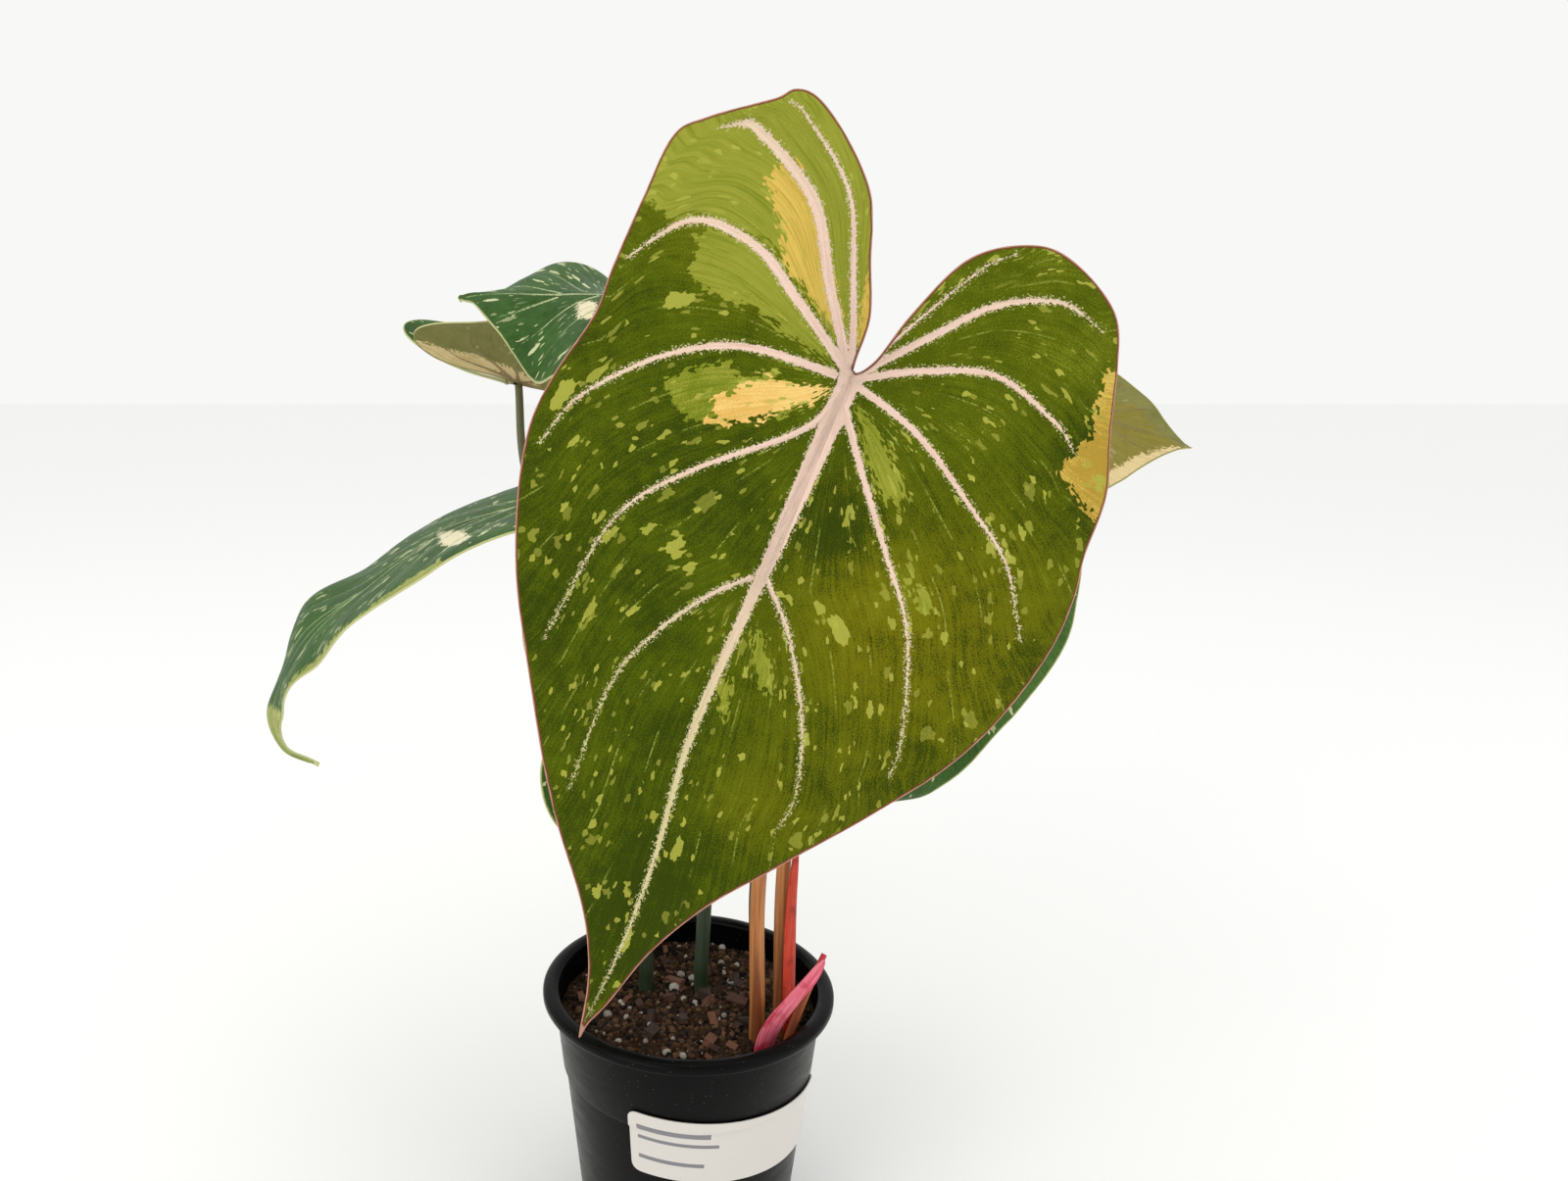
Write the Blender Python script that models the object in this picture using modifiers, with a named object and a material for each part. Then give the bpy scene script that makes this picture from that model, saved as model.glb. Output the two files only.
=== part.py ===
"""A variegated Philodendron gloriosum in a round nursery pot.

Metres, +Z up. The origin is the middle of the pot's base and the front leaf faces -Y.
Sizes below are in millimetres and are turned to metres as each mesh is made.

A blade is drawn flat first, in millimetres: s runs along its midrib from where the petiole
meets it, and t runs across it. The flat outline and its veins are split into triangles, and
each flat point is then carried onto a surface that bends along the leaf's stations.
"""

import math

import bmesh
import bpy
import numpy as np
from mathutils import Matrix, Vector, noise
from mathutils.bvhtree import BVHTree
from mathutils.geometry import delaunay_2d_cdt

MM = 0.001
GAP = 0.35  # left between pieces that touch

# Pot
POT_HEIGHT = 100.0
LIP_RADIUS = 54.0
LIP_HEIGHT = 4.0
POT_TOP_RADIUS = 49.6
POT_BASE_RADIUS = 38.2
POT_WALL = 1.6
POT_FLOOR = 2.0
COLLAR_Z = 69.5
COLLAR_STEP = 1.0
LIP_LOW = POT_HEIGHT - LIP_HEIGHT
LIP_CROWN = 1.8
LIP_STEPS = 6
COLLAR_RADIUS = 46.7
LIP_SKIRT = 0.9  # the small bevels under the lip
FOOT_BEVEL = 1.0
POT_SEGMENTS = 48

# Label
LABEL_LOW, LABEL_HIGH = 50.8, 76.3  # at its left end
LABEL_LEFT_DEG, LABEL_RIGHT_DEG = -28.0, 77.0  # from the pot's front, to the right
LABEL_SLOPE = 0.085  # it is stuck on askew and drops to the right
LABEL_CORNER = 3.0
LABEL_THICKNESS = 0.4
LABEL_STEP = 5.0

# Soil
SOIL_TOP = 90.0
SOIL_ROUGHNESS = 1.6
COARSE_GRAIN, FINE_GRAIN = 14.0, 5.0  # the widths of the soil's rises
FINE_SHARE = 0.6
SOIL_RINGS = 8
HOLE_DEPTH = 14.0
HOLE_CLEARANCE = 0.8
SHEATH_HOLE_DEPTH = 8.0
CHIP_COUNT, PERLITE_COUNT = 26, 30
BARK_SIZE = np.array((8.0, 4.5, 3.0))
PERLITE_SIZE = np.array((3.4, 3.4, 3.4))
LUMP_SIZES = (0.8, 1.3)
LUMP_LIFT = 0.15  # of its least size, over the soil's top
LUMP_TILT = 0.5
LUMP_GAP = 0.4
STEM_CLEARANCE = 5.0
SOIL_SEED = 7

# Blades
BLADE_THICKNESS = 0.8
MARGIN_THICKNESS = 0.65
RIB_DEPTH = 0.9
QUILT_HEIGHT = 0.9
QUILT_REACH = 7.0
MARGIN_DROP = 1.4
MARGIN_REACH = 9.0
RIB_WIDTH = 1.5
RIB_FADE = 12.0  # a rib sinks into the blade this far from the margin
WAVE_REACH = 0.12  # of the leaf's length, in from the margin
HALF_SHIFT = 1.3  # radians between the waves of a blade's two halves
FRONT_STEPS = (7.0, 9.0)  # along the edges and veins, and between them
BACK_STEPS = (9.0, 12.0)
SHEATH_STEPS = (2.6, 2.6)

# Petioles
PETIOLE_FOOT_RADIUS = 3.0
PETIOLE_TOP_RADIUS = 1.9
PETIOLE_STEP = 14.0
ATTACHMENT = (2.5, 0.0)  # on the flat blade, under the start of its midrib
TAN_PETIOLES = ("front", "lower_right")

# Half of a gloriosum's heart shape: along the midrib in leaf lengths, across in half widths
HEART = (
    (-0.02, 0.0), (-0.06, 0.05), (-0.14, 0.10), (-0.23, 0.18), (-0.29, 0.32), (-0.30, 0.50),
    (-0.26, 0.68), (-0.18, 0.83), (-0.07, 0.94), (0.06, 0.99), (0.20, 1.0), (0.34, 0.94),
    (0.48, 0.80), (0.61, 0.62), (0.73, 0.42), (0.83, 0.24), (0.91, 0.11), (0.96, 0.05), (1.0, 0.0),
)
# The main veins of one half, in the same units
HEART_VEINS = (
    ((-0.01, 0.03), (-0.09, 0.14), (-0.17, 0.24), (-0.23, 0.38)),
    ((-0.01, 0.04), (-0.08, 0.24), (-0.15, 0.45), (-0.17, 0.68)),
    ((0.01, 0.04), (-0.02, 0.28), (0.0, 0.56), (0.07, 0.80)),
    ((0.03, 0.03), (0.10, 0.22), (0.20, 0.48), (0.32, 0.74)),
    ((0.13, 0.03), (0.24, 0.16), (0.36, 0.38), (0.48, 0.62)),
    ((0.31, 0.03), (0.42, 0.14), (0.54, 0.30), (0.64, 0.42)),
    ((0.51, 0.03), (0.62, 0.10), (0.72, 0.18), (0.79, 0.22)),
)
HEART_MIDRIB = ((0.0, 0.0), (0.3, 0.0), (0.6, 0.0), (0.96, 0.0))

# Half of a cataphyll's outline, from its foot to its point, in the same units
LANCE = ((0.0, 0.0), (0.0, 0.55), (0.25, 0.95), (0.5, 1.0), (0.75, 0.72), (0.92, 0.28), (1.0, 0.0))
LANCE_MIDRIB = ((0.05, 0.0), (0.5, 0.0), (0.95, 0.0))

# The front leaf's own outline and veins in millimetres, left half first
FRONT_OUTLINE = (
    (-2, 0), (-15, -1), (-28, -6), (-36, -9), (-43, -13), (-51, -22), (-57, -32), (-57, -38),
    (-53, -42), (-44, -55), (-37, -61), (-21, -62), (-1, -64), (9, -63.4), (25, -66.8), (39, -67),
    (56, -62.4), (77, -53.7), (100, -40.7), (123, -28), (144, -13), (156, -6), (166, -2), (179, 0),
    (175, 1), (167, 4), (148, 9), (131, 17), (115, 30), (98, 44), (81, 57), (62, 67), (42, 71),
    (30, 71), (17, 68), (3, 67), (-10, 63), (-26, 58), (-37, 52), (-44, 38), (-44, 27), (-36, 15),
    (-20, 8), (-6, 4),
)
FRONT_MIDRIB = ((0, 0), (41, -1), (60, -2), (95, -3), (127, 0), (154, 1), (173, 0))
FRONT_VEINS = (
    ((-3, 2), (-17, 9), (-35, 19), (-41, 25)),
    ((-1, 1), (-16, 14), (-28, 25), (-34, 37), (-32, 51)),
    ((0, 1), (-8, 16), (-13, 32), (-8, 49), (-3, 56)),
    ((1, 1), (7, 20), (18, 38), (27, 51), (43, 62)),
    ((7, 1), (20, 11), (36, 24), (52, 36), (76, 44), (86, 45)),
    ((52, 0), (63, 10), (80, 20), (98, 26), (109, 25)),
    ((4, -1), (16, -6), (36, -28), (53, -40), (85, -45)),
    ((1, -4), (3, -26), (12, -43), (28, -58), (42, -62)),
    ((-1, -2), (-12, -19), (-20, -33), (-20, -49), (-6, -60)),
    ((-2, -2), (-18, -13), (-35, -24), (-45, -42), (-42, -52)),
    ((-3, -1), (-21, -8), (-40, -17), (-52, -33)),
    ((53, -4), (61, -12), (75, -21), (90, -26), (117, -26)),
)

# Each station is a point on the midrib and the direction across the blade there, towards t > 0.
LEAVES = {
    "front": {
        "shape": "front",
        "half_width": 68.0,
        "stations": (
            ((30.6, -115.6, 325.4), (0.92, -0.08, -0.37)),
            ((11.7, -123, 279.5), (0.92, -0.08, -0.37)),
            ((-8.5, -128.5, 228), (0.92, -0.08, -0.37)),
            ((-23.7, -130.5, 189), (0.92, -0.08, -0.37)),
            ((-34.5, -129.5, 161), (0.92, -0.08, -0.37)),
        ),
        "fold": (4.0, 4.0),
        "curl": -0.12,
        "waves": (3.0, 1.6, 0.4),
        "petiole": ((23.6, -21.5), ((22.5, -26, 150), (23.6, -52, 222), (28.3, -86, 288))),
    },
    "lower_right": {
        "stations": (
            ((85, 20, 280), (0.95, -0.16, -0.27)),
            ((79, 4, 245), (0.94, -0.21, -0.26)),
            ((71, -4, 207), (0.94, -0.24, -0.24)),
            ((65.3, -1, 178), (0.95, -0.19, -0.25)),
            ((61.5, 9, 156), (0.95, -0.17, -0.25)),
        ),
        "half_width": 59.7,
        "fold": (3.0, -3.0),
        "curl": -0.25,
        "waves": (3.0, 2.5, 0.0),
        "petiole": ((32.5, -17), ((33.9, -6, 150), (44.4, 26, 200), (67.2, 42, 246))),
    },
    "left": {
        "stations": (
            ((-43.1, 46, 276), (-0.04, -0.99, -0.06)),
            ((-67.1, 45, 271), (0.02, -0.99, -0.05)),
            ((-96.1, 43, 260), (0.15, -0.96, -0.02)),
            ((-124, 39, 240), (0.23, -0.93, 0.03)),
            ((-143, 36, 225), (0.44, -0.83, -0.02)),
            ((-153.8, 34, 209), (0.43, -0.80, 0.27)),
            ((-159.6, 32, 193), (0.45, -0.80, 0.23)),
            ((-154.7, 29, 180), (0.34, -0.86, 0.20)),
            ((-140.6, 28, 174), (0.23, -0.89, 0.29)),
        ),
        "half_width": 50.9,
        "fold": (1.0, 1.0),
        "curl": -0.05,
        "waves": (2.0, 1.2, 0.0),
        "petiole": ((-15.5, 11), ((-19, 20, 150), (-27.2, 30, 205), (-37.2, 40, 250))),
    },
    "upper_left": {
        "stations": (
            ((-7, 103, 350), (-0.21, -0.94, -0.29)),
            ((-34, 110, 353), (-0.23, -0.95, -0.23)),
            ((-61, 117, 353), (-0.28, -0.77, -0.58)),
            ((-84, 118, 354), (-0.27, -0.91, -0.32)),
            ((-92, 117, 353), (-0.34, -0.92, -0.18)),
            ((-95, 117, 351), (-0.38, -0.90, -0.21)),
        ),
        "half_width": 66.1,
        "fold": (-12.0, -12.0),
        "curl": -0.1,
        "waves": (2.0, 2.0, 0.0),
        "petiole": ((5.8, 10), ((10.2, 22, 150), (26.8, 50, 225), (25.3, 86, 305))),
    },
    "back_left": {
        "stations": (
            ((-75, 152, 315), (-0.22, 0.78, -0.59)),
            ((-26, 169, 303), (-0.22, 0.83, -0.52)),
            ((26, 189, 286), (-0.23, 0.83, -0.51)),
            ((78, 209, 264), (-0.23, 0.80, -0.55)),
        ),
        "half_width": 46.7,
        "fold": (4.0, 75.0),
        "curl": -0.2,
        "waves": (2.0, 2.0, 0.0),
        "petiole": ((-18, 32), ((-20, 74, 122), (-28, 102, 165), (-52, 124, 222), (-69, 138, 275))),
    },
    "right": {
        "stations": (
            ((118, 56, 306), (0.26, -0.09, -0.96)),
            ((146, 77, 308), (0.30, -0.17, -0.94)),
            ((180, 92, 300), (0.42, -0.38, -0.83)),
            ((217, 102, 289), (0.40, -0.28, -0.87)),
        ),
        "half_width": 46.6,
        "fold": (-2.0, -2.0),
        "curl": -0.1,
        "waves": (2.0, 2.0, 0.0),
        "petiole": ((26, -2), ((27.5, 8, 150), (54, 44, 205), (84, 38, 240), (99, 28, 263), (115, 33, 287))),
    },
    "low_left": {
        "stations": (
            ((-37, 51, 194), (-0.02, 0.24, 0.97)),
            ((-12, 71, 195), (0.0, 0.20, 0.98)),
            ((14, 96, 191), (0.05, 0.18, 0.98)),
            ((41, 117, 183), (0.10, 0.17, 0.98)),
        ),
        "half_width": 64.0,
        "fold": (3.0, 3.0),
        "curl": -0.2,
        "waves": (2.0, 2.0, 0.0),
        "petiole": ((-29.7, 10), ((-34.3, 34, 118), (-43.5, 62, 150), (-45, 72, 178))),
    },
}

SHEATHS = {
    "red_sheath": {
        "shape": "lance",
        "stations": (
            ((34.6, -20.4, 83), (0.83, 0.56, 0.0)),
            ((34.6, -20.4, 100), (0.83, 0.56, 0.0)),
            ((34.7, -18.8, 114), (0.83, 0.56, 0.0)),
            ((35.3, -13.9, 137), (0.80, 0.60, 0.0)),
            ((36.6, -8.9, 151), (0.78, 0.62, 0.0)),
            ((38.3, -2.0, 163), (0.78, 0.62, 0.0)),
        ),
        "half_width": 2.9,
        "fold": (0.0, 0.0),
        "curl": 14.0,
        "waves": (1.0, 0.0, 0.0),
    },
    "pink_sheath": {
        "shape": "lance",
        "stations": (
            ((25.5, -30.2, 83), (0.90, 0.30, 0.0)),
            ((25.8, -30.2, 93), (0.90, 0.30, 0.0)),
            ((28.8, -29.6, 101), (0.90, 0.20, -0.3)),
            ((35.0, -27.8, 109), (0.80, 0.10, -0.6)),
            ((41.5, -24.6, 115), (0.70, 0.0, -0.7)),
            ((46.5, -20.5, 120), (0.70, 0.0, -0.7)),
        ),
        "half_width": 4.3,
        "fold": (0.0, 0.0),
        "curl": 12.0,
        "waves": (1.0, 0.0, 0.0),
    },
}
YOUNG_SHOOT = ((34.5, -25.5, 83), (34.5, -25.5, 92), (39.5, -22, 104), (48, -15, 119))
YOUNG_SHOOT_RADII = (2.0, 1.1)

COLOURS = {
    "black_plastic": ("#121214", 0.38),
    "white_label": ("#e9e6e2", 0.3),
    "soil_mix": ("#2a1c14", 0.95),
    "young_leaf": ("#566a12", 0.55),
    "mature_leaf": ("#2f5530", 0.5),
    "tan_petiole": ("#a8703a", 0.5),
    "green_petiole": ("#3b4a2c", 0.5),
    "red_sheath": ("#b32a1c", 0.45),
    "pink_sheath": ("#cf5168", 0.45),
}


def scaled(points, length, half_width):
    return [(s * length, t * half_width) for s, t in points]


def flat_shape(shape, length, half_width):
    """The flat outline, midrib and veins of a blade."""
    if shape == "front":
        return FRONT_OUTLINE, FRONT_MIDRIB, FRONT_VEINS
    half, midrib, veins = HEART, HEART_MIDRIB, HEART_VEINS
    if shape == "lance":
        half, midrib, veins = LANCE, LANCE_MIDRIB, ()
    right = scaled(half, length, half_width)
    left = [(s, -t) for s, t in right[-2:0:-1]]
    both = [scaled(vein, length, side * half_width) for vein in veins for side in (1, -1)]
    return right + left, scaled(midrib, length, half_width), both


def srgb_to_linear(value):
    return value / 12.92 if value <= 0.04045 else ((value + 0.055) / 1.055) ** 2.4


def material(name):
    """A Principled material with this finish's colour and roughness."""
    found = bpy.data.materials.get(name)
    if found:
        return found
    colour, roughness = COLOURS[name]
    made = bpy.data.materials.new(name)
    made.use_nodes = True
    shader = made.node_tree.nodes["Principled BSDF"]
    rgb = [srgb_to_linear(int(colour[i : i + 2], 16) / 255) for i in (1, 3, 5)]
    shader.inputs["Base Color"].default_value = (*rgb, 1.0)
    shader.inputs["Roughness"].default_value = roughness
    return made


def new_collection(name):
    made = bpy.data.collections.new(name)
    bpy.context.scene.collection.children.link(made)
    return made


def add_object(name, data, collection, finish=None):
    made = bpy.data.objects.new(name, data)
    collection.objects.link(made)
    if finish:
        data.materials.clear()
        data.materials.append(material(finish))
    return made


def mesh_from(name, points_mm, faces):
    """A mesh of these millimetre points, shaded smooth except at sharp edges."""
    mesh = bpy.data.meshes.new(name)
    mesh.from_pydata((np.asarray(points_mm, float) * MM).tolist(), [], [list(map(int, f)) for f in faces])
    mesh.shade_smooth()
    mesh.set_sharp_from_angle(angle=math.radians(40))
    return mesh


def smooth_curve(points, steps, closed=False):
    """Points of a Catmull-Rom curve through these, in any number of dimensions."""
    p = np.array(points, float)
    p = np.vstack([p[-1:], p, p[:2]]) if closed else np.vstack([2 * p[0] - p[1], p, 2 * p[-1] - p[-2]])
    u = np.linspace(0, 1, steps, endpoint=False)[:, None]
    runs = []
    for a, b, c, d in zip(p[:-3], p[1:-2], p[2:-1], p[3:]):
        runs.append(
            b + 0.5 * u * (c - a + u * (2 * a - 5 * b + 4 * c - d + u * (3 * (b - c) + d - a)))
        )
    return np.vstack(runs) if closed else np.vstack([*runs, p[-2][None]])


def resample(points, spacing, closed=False):
    """Points along this line at about this spacing, ends kept."""
    p = np.vstack([points, points[:1]]) if closed else np.asarray(points, float)
    run = np.concatenate([[0.0], np.cumsum(np.linalg.norm(np.diff(p, axis=0), axis=1))])
    count = max(2, round(run[-1] / spacing))
    at = np.linspace(0, run[-1], count + 1)
    made = np.column_stack([np.interp(at, run, p[:, k]) for k in range(p.shape[1])])
    return made[:-1] if closed else made


def distance_to_line(points, line, closed=False):
    """Distance from each flat point to a flat line."""
    a = np.asarray(line, float)
    b = np.roll(a, -1, axis=0) if closed else a[1:]
    a = a if closed else a[:-1]
    along = b - a
    length_squared = np.maximum((along**2).sum(1), 1e-9)
    best = np.full(len(points), 1e9)
    for start, step, size in zip(a, along, length_squared):
        share = np.clip((points - start) @ step / size, 0, 1)
        best = np.minimum(best, np.linalg.norm(points - start - share[:, None] * step, axis=1))
    return best


def inside(points, outline):
    """Whether each flat point lies inside a closed flat outline."""
    odd = np.zeros(len(points), bool)
    for (x0, y0), (x1, y1) in zip(outline, np.roll(outline, -1, axis=0)):
        if y0 == y1:
            continue
        crosses = (points[:, 1] < y0) != (points[:, 1] < y1)
        odd ^= crosses & (points[:, 0] < x0 + (points[:, 1] - y0) / (y1 - y0) * (x1 - x0))
    return odd


class Blade:
    """One leaf blade: its flat outline and veins, and the surface that they are carried onto."""

    def __init__(self, leaf):
        self.leaf = leaf
        place = np.array([point for point, _ in leaf["stations"]], float)
        across = np.array([direction for _, direction in leaf["stations"]], float)
        self.path = smooth_curve(place, 24)
        steps = np.linalg.norm(np.diff(self.path, axis=0), axis=1)
        self.arc = np.concatenate([[0.0], np.cumsum(steps)])
        self.length = self.arc[-1]
        self.along = unit(np.gradient(self.path, axis=0))
        across = smooth_curve(across, 24)
        self.across = unit(across - (across * self.along).sum(1)[:, None] * self.along)
        outline, midrib, veins = flat_shape(leaf.get("shape", "heart"), self.length, leaf["half_width"])
        self.outline = smooth_curve(outline, 8, closed=True)
        self.veins = [smooth_curve(vein, 8) for vein in (midrib, *veins)]

    def surface(self, flat):
        """The mid-surface point and upward normal for each flat point."""
        s, t = flat[:, 0], flat[:, 1]
        frame = [
            np.column_stack([np.interp(s, self.arc, line[:, k]) for k in range(3)])
            for line in (self.path, self.along, self.across)
        ]
        place, along, across = frame[0], unit(frame[1]), frame[2]
        place += np.minimum(s, 0)[:, None] * self.along[0]
        place += np.maximum(s - self.length, 0)[:, None] * self.along[-1]
        up = unit(np.cross(along, across))
        side = np.where(t < 0, -1.0, 1.0)
        fold = np.radians(np.where(t < 0, *self.leaf["fold"]))
        curl = math.radians(self.leaf["curl"])
        lean = fold + curl * np.abs(t)
        out = (np.sin(lean) - np.sin(fold)) / curl
        rise = (np.cos(fold) - np.cos(lean)) / curl + self.relief(flat)
        place = place + (side * out)[:, None] * across + rise[:, None] * up
        crease = math.radians((self.leaf["fold"][1] - self.leaf["fold"][0]) / 2)
        slope = np.where(np.abs(t) < 0.01, crease, side * lean)
        normal = np.cos(slope)[:, None] * up - np.sin(slope)[:, None] * across
        return place, normal

    def relief(self, flat):
        """Height over the smooth surface: waves, the sunk veins' quilting and the rolled margin."""
        count, height, phase = self.leaf["waves"]
        edge = distance_to_line(flat, self.outline, closed=True)
        vein = np.min([distance_to_line(flat, line) for line in self.veins], axis=0)
        reach = np.exp(-edge / (WAVE_REACH * self.length))
        turn = math.tau * count * flat[:, 0] / self.length + phase + np.where(flat[:, 1] < 0, HALF_SHIFT, 0.0)
        quilt = QUILT_HEIGHT * (1 - np.exp(-((vein / QUILT_REACH) ** 2)))
        drop = MARGIN_DROP * np.clip(1 - edge / MARGIN_REACH, 0, 1) ** 2
        return height * reach * np.sin(turn) + quilt - drop

    def triangles(self, edge_step, inner_step):
        """Flat points and triangles, with the outline and veins among the edges."""
        rim = resample(self.outline, edge_step, closed=True)
        lines = [resample(vein, edge_step) for vein in self.veins]
        flat = [tuple(p) for p in rim]
        edges = [(i, (i + 1) % len(rim)) for i in range(len(rim))]
        for line in lines:
            keep = line[distance_to_line(line, self.outline, closed=True) > 0.35 * edge_step]
            edges += [(len(flat) + i, len(flat) + i + 1) for i in range(len(keep) - 1)]
            flat += [tuple(p) for p in keep]
        grid = hex_points(self.outline, inner_step)
        grid = grid[inside(grid, self.outline)]
        clear = distance_to_line(grid, self.outline, closed=True) > 0.45 * inner_step
        for vein in self.veins:
            clear &= distance_to_line(grid, vein) > 0.4 * inner_step
        flat += [tuple(p) for p in grid[clear]]
        points, _, faces, *_ = delaunay_2d_cdt([Vector(p) for p in flat], edges, [], 1, 1e-4)
        points, faces = used_only(points, faces)
        return np.array([tuple(p) for p in points]), faces

    def solid(self, name, edge_step, inner_step):
        """The closed blade as a mesh, with ribs under its veins and the same triangles on both faces."""
        flat, faces = self.triangles(edge_step, inner_step)
        place, normal = self.surface(flat)
        edge = distance_to_line(flat, self.outline, closed=True)
        vein = np.min([distance_to_line(flat, line) for line in self.veins], axis=0)
        half = 0.5 * np.where(edge < 0.1, MARGIN_THICKNESS, BLADE_THICKNESS)
        rib = RIB_DEPTH * np.exp(-((vein / RIB_WIDTH) ** 2)) * np.clip(edge / RIB_FADE, 0, 1)
        upper = place + half[:, None] * normal
        lower = place - (half + rib)[:, None] * normal
        return mesh_from(name, *closed_sheet(upper, lower, faces))


def unit(vectors):
    return vectors / np.linalg.norm(vectors, axis=1)[:, None]


def used_only(points, faces):
    """The points that faces use, and the faces renumbered to match."""
    used = sorted({v for face in faces for v in face})
    place = {v: i for i, v in enumerate(used)}
    return [points[v] for v in used], [tuple(place[v] for v in face) for face in faces]


def hex_points(outline, step):
    """A staggered grid over the outline's box."""
    low, high = outline.min(0), outline.max(0)
    rows = []
    for row, t in enumerate(np.arange(low[1], high[1], step * math.sqrt(3) / 2)):
        s = np.arange(low[0] + (row % 2) * step / 2, high[0], step)
        rows.append(np.column_stack([s, np.full(len(s), t)]))
    return np.vstack(rows)


def closed_sheet(upper, lower, faces):
    """Points and faces of a sheet's two sides, split alike, and of the wall round its edge."""
    count = len(upper)
    corners = upper[np.array(faces)]
    lift = np.einsum("ij,ij->i", np.cross(corners[:, 1] - corners[:, 0], corners[:, 2] - corners[:, 0]),
                     (upper - lower)[np.array(faces)[:, 0]])
    faces = [face if up > 0 else face[::-1] for face, up in zip(faces, lift)]
    directed = {(face[i], face[(i + 1) % 3]) for face in faces for i in range(3)}
    rim = [(a, b) for a, b in directed if (b, a) not in directed]
    made = list(faces) + [tuple(count + v for v in face[::-1]) for face in faces]
    for a, b in sorted(rim):
        made += [(a, count + a, count + b), (a, count + b, b)]
    return np.vstack([upper, lower]), made


def stem_points(route):
    return resample(smooth_curve(route, 12), PETIOLE_STEP)


def petiole(name, route, radii, collection, finish):
    """A tapering stem along this route, as a curve with a round bevel and closed ends."""
    points = stem_points(route)
    curve = bpy.data.curves.new(name, "CURVE")
    curve.dimensions = "3D"
    curve.bevel_depth = MM
    curve.bevel_resolution = 2
    curve.use_fill_caps = True
    curve.twist_mode = "MINIMUM"
    spline = curve.splines.new("POLY")
    spline.points.add(len(points) - 1)
    for i, (knot, place) in enumerate(zip(spline.points, points)):
        share = i / (len(points) - 1)
        knot.co = (*(place * MM), 1.0)
        knot.radius = radii[0] + (radii[1] - radii[0]) * share
    return add_object(name, curve, collection, finish)


def tip_clearance(route, tree):
    """The least distance from the edge of a stem's top end to a blade."""
    before, end = stem_points(route)[-2:]
    turn = Vector(end - before).to_track_quat("Z", "Y")
    rim = [Vector((math.cos(a), math.sin(a), 0.0)) for a in np.linspace(0, math.tau, 12, endpoint=False)]
    return min(tree.find_nearest(Vector(end) + turn @ (PETIOLE_TOP_RADIUS * v))[3] for v in rim)


def petiole_route(leaf, blade, mesh):
    """From the bottom of its hole in the soil to a seat just under the blade, where the lobes part."""
    (x, y), middle = leaf["petiole"]
    place, normal = blade.surface(np.array([ATTACHMENT]))
    tree = BVHTree.FromPolygons([v.co / MM for v in mesh.vertices], [f.vertices for f in mesh.polygons])
    low = [(x, y, SOIL_TOP - HOLE_DEPTH + GAP), (x, y, SOIL_TOP + 4), (x, y, SOIL_TOP + 14)]
    for drop in np.arange(6.0, 0.0, -0.1):
        route = [*low, *middle, tuple(place[0] - drop * normal[0])]
        if tip_clearance(route, tree) < GAP:
            break
    return route


def pot_radius(z):
    """The outer radius of the pot's body at this height, under the lip."""
    heights = (0.0, COLLAR_Z - COLLAR_STEP, COLLAR_Z, LIP_LOW)
    radii = (POT_BASE_RADIUS, COLLAR_RADIUS - COLLAR_STEP, COLLAR_RADIUS, POT_TOP_RADIUS)
    return float(np.interp(z, heights, radii))


def turned(name, profile, collection, finish):
    """A turned piece: a profile of (radius, height) with a Screw modifier."""
    points = [(r, 0.0, z) for r, z in profile]
    mesh = bpy.data.meshes.new(name)
    edges = [(i, i + 1) for i in range(len(points) - 1)]
    mesh.from_pydata([tuple(v * MM for v in p) for p in points], edges, [])
    made = add_object(name, mesh, collection, finish)
    screw = made.modifiers.new("turn", "SCREW")
    screw.steps = screw.render_steps = POT_SEGMENTS
    screw.use_merge_vertices = True
    screw.merge_threshold = 0.00001
    screw.use_smooth_shade = True
    return made


def pot(collection):
    """A thin moulded cup with a collar and a rolled lip, finished flat underneath."""
    wall, low = POT_WALL, LIP_LOW
    inner_top = POT_TOP_RADIUS - wall
    profile = [
        (0.0, POT_FLOOR),
        (pot_radius(POT_FLOOR) - wall, POT_FLOOR),
        (pot_radius(COLLAR_Z - COLLAR_STEP) - wall, COLLAR_Z - COLLAR_STEP),
        (pot_radius(COLLAR_Z) - wall, COLLAR_Z),
        (inner_top, low),
    ]
    lip_middle = (inner_top + LIP_RADIUS) / 2
    lip_half = (LIP_RADIUS - inner_top) / 2
    for step in range(LIP_STEPS + 1):
        turn = math.pi * (1 - step / LIP_STEPS)
        rise = math.sin(turn) if 0 < step < LIP_STEPS else 0.0
        profile.append((lip_middle + lip_half * math.cos(turn), POT_HEIGHT - LIP_CROWN * (1 - rise)))
    profile += [
        (LIP_RADIUS, low + LIP_SKIRT),
        (LIP_RADIUS - LIP_SKIRT, low),
        (POT_TOP_RADIUS + LIP_SKIRT / 2, low),
        (POT_TOP_RADIUS, low - LIP_SKIRT / 2),
        (pot_radius(COLLAR_Z), COLLAR_Z),
        (pot_radius(COLLAR_Z - COLLAR_STEP), COLLAR_Z - COLLAR_STEP),
        (pot_radius(FOOT_BEVEL), FOOT_BEVEL),
        (POT_BASE_RADIUS - FOOT_BEVEL, 0.0),
        (0.0, 0.0),
    ]
    return turned("pot", profile, collection, "black_plastic")


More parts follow.
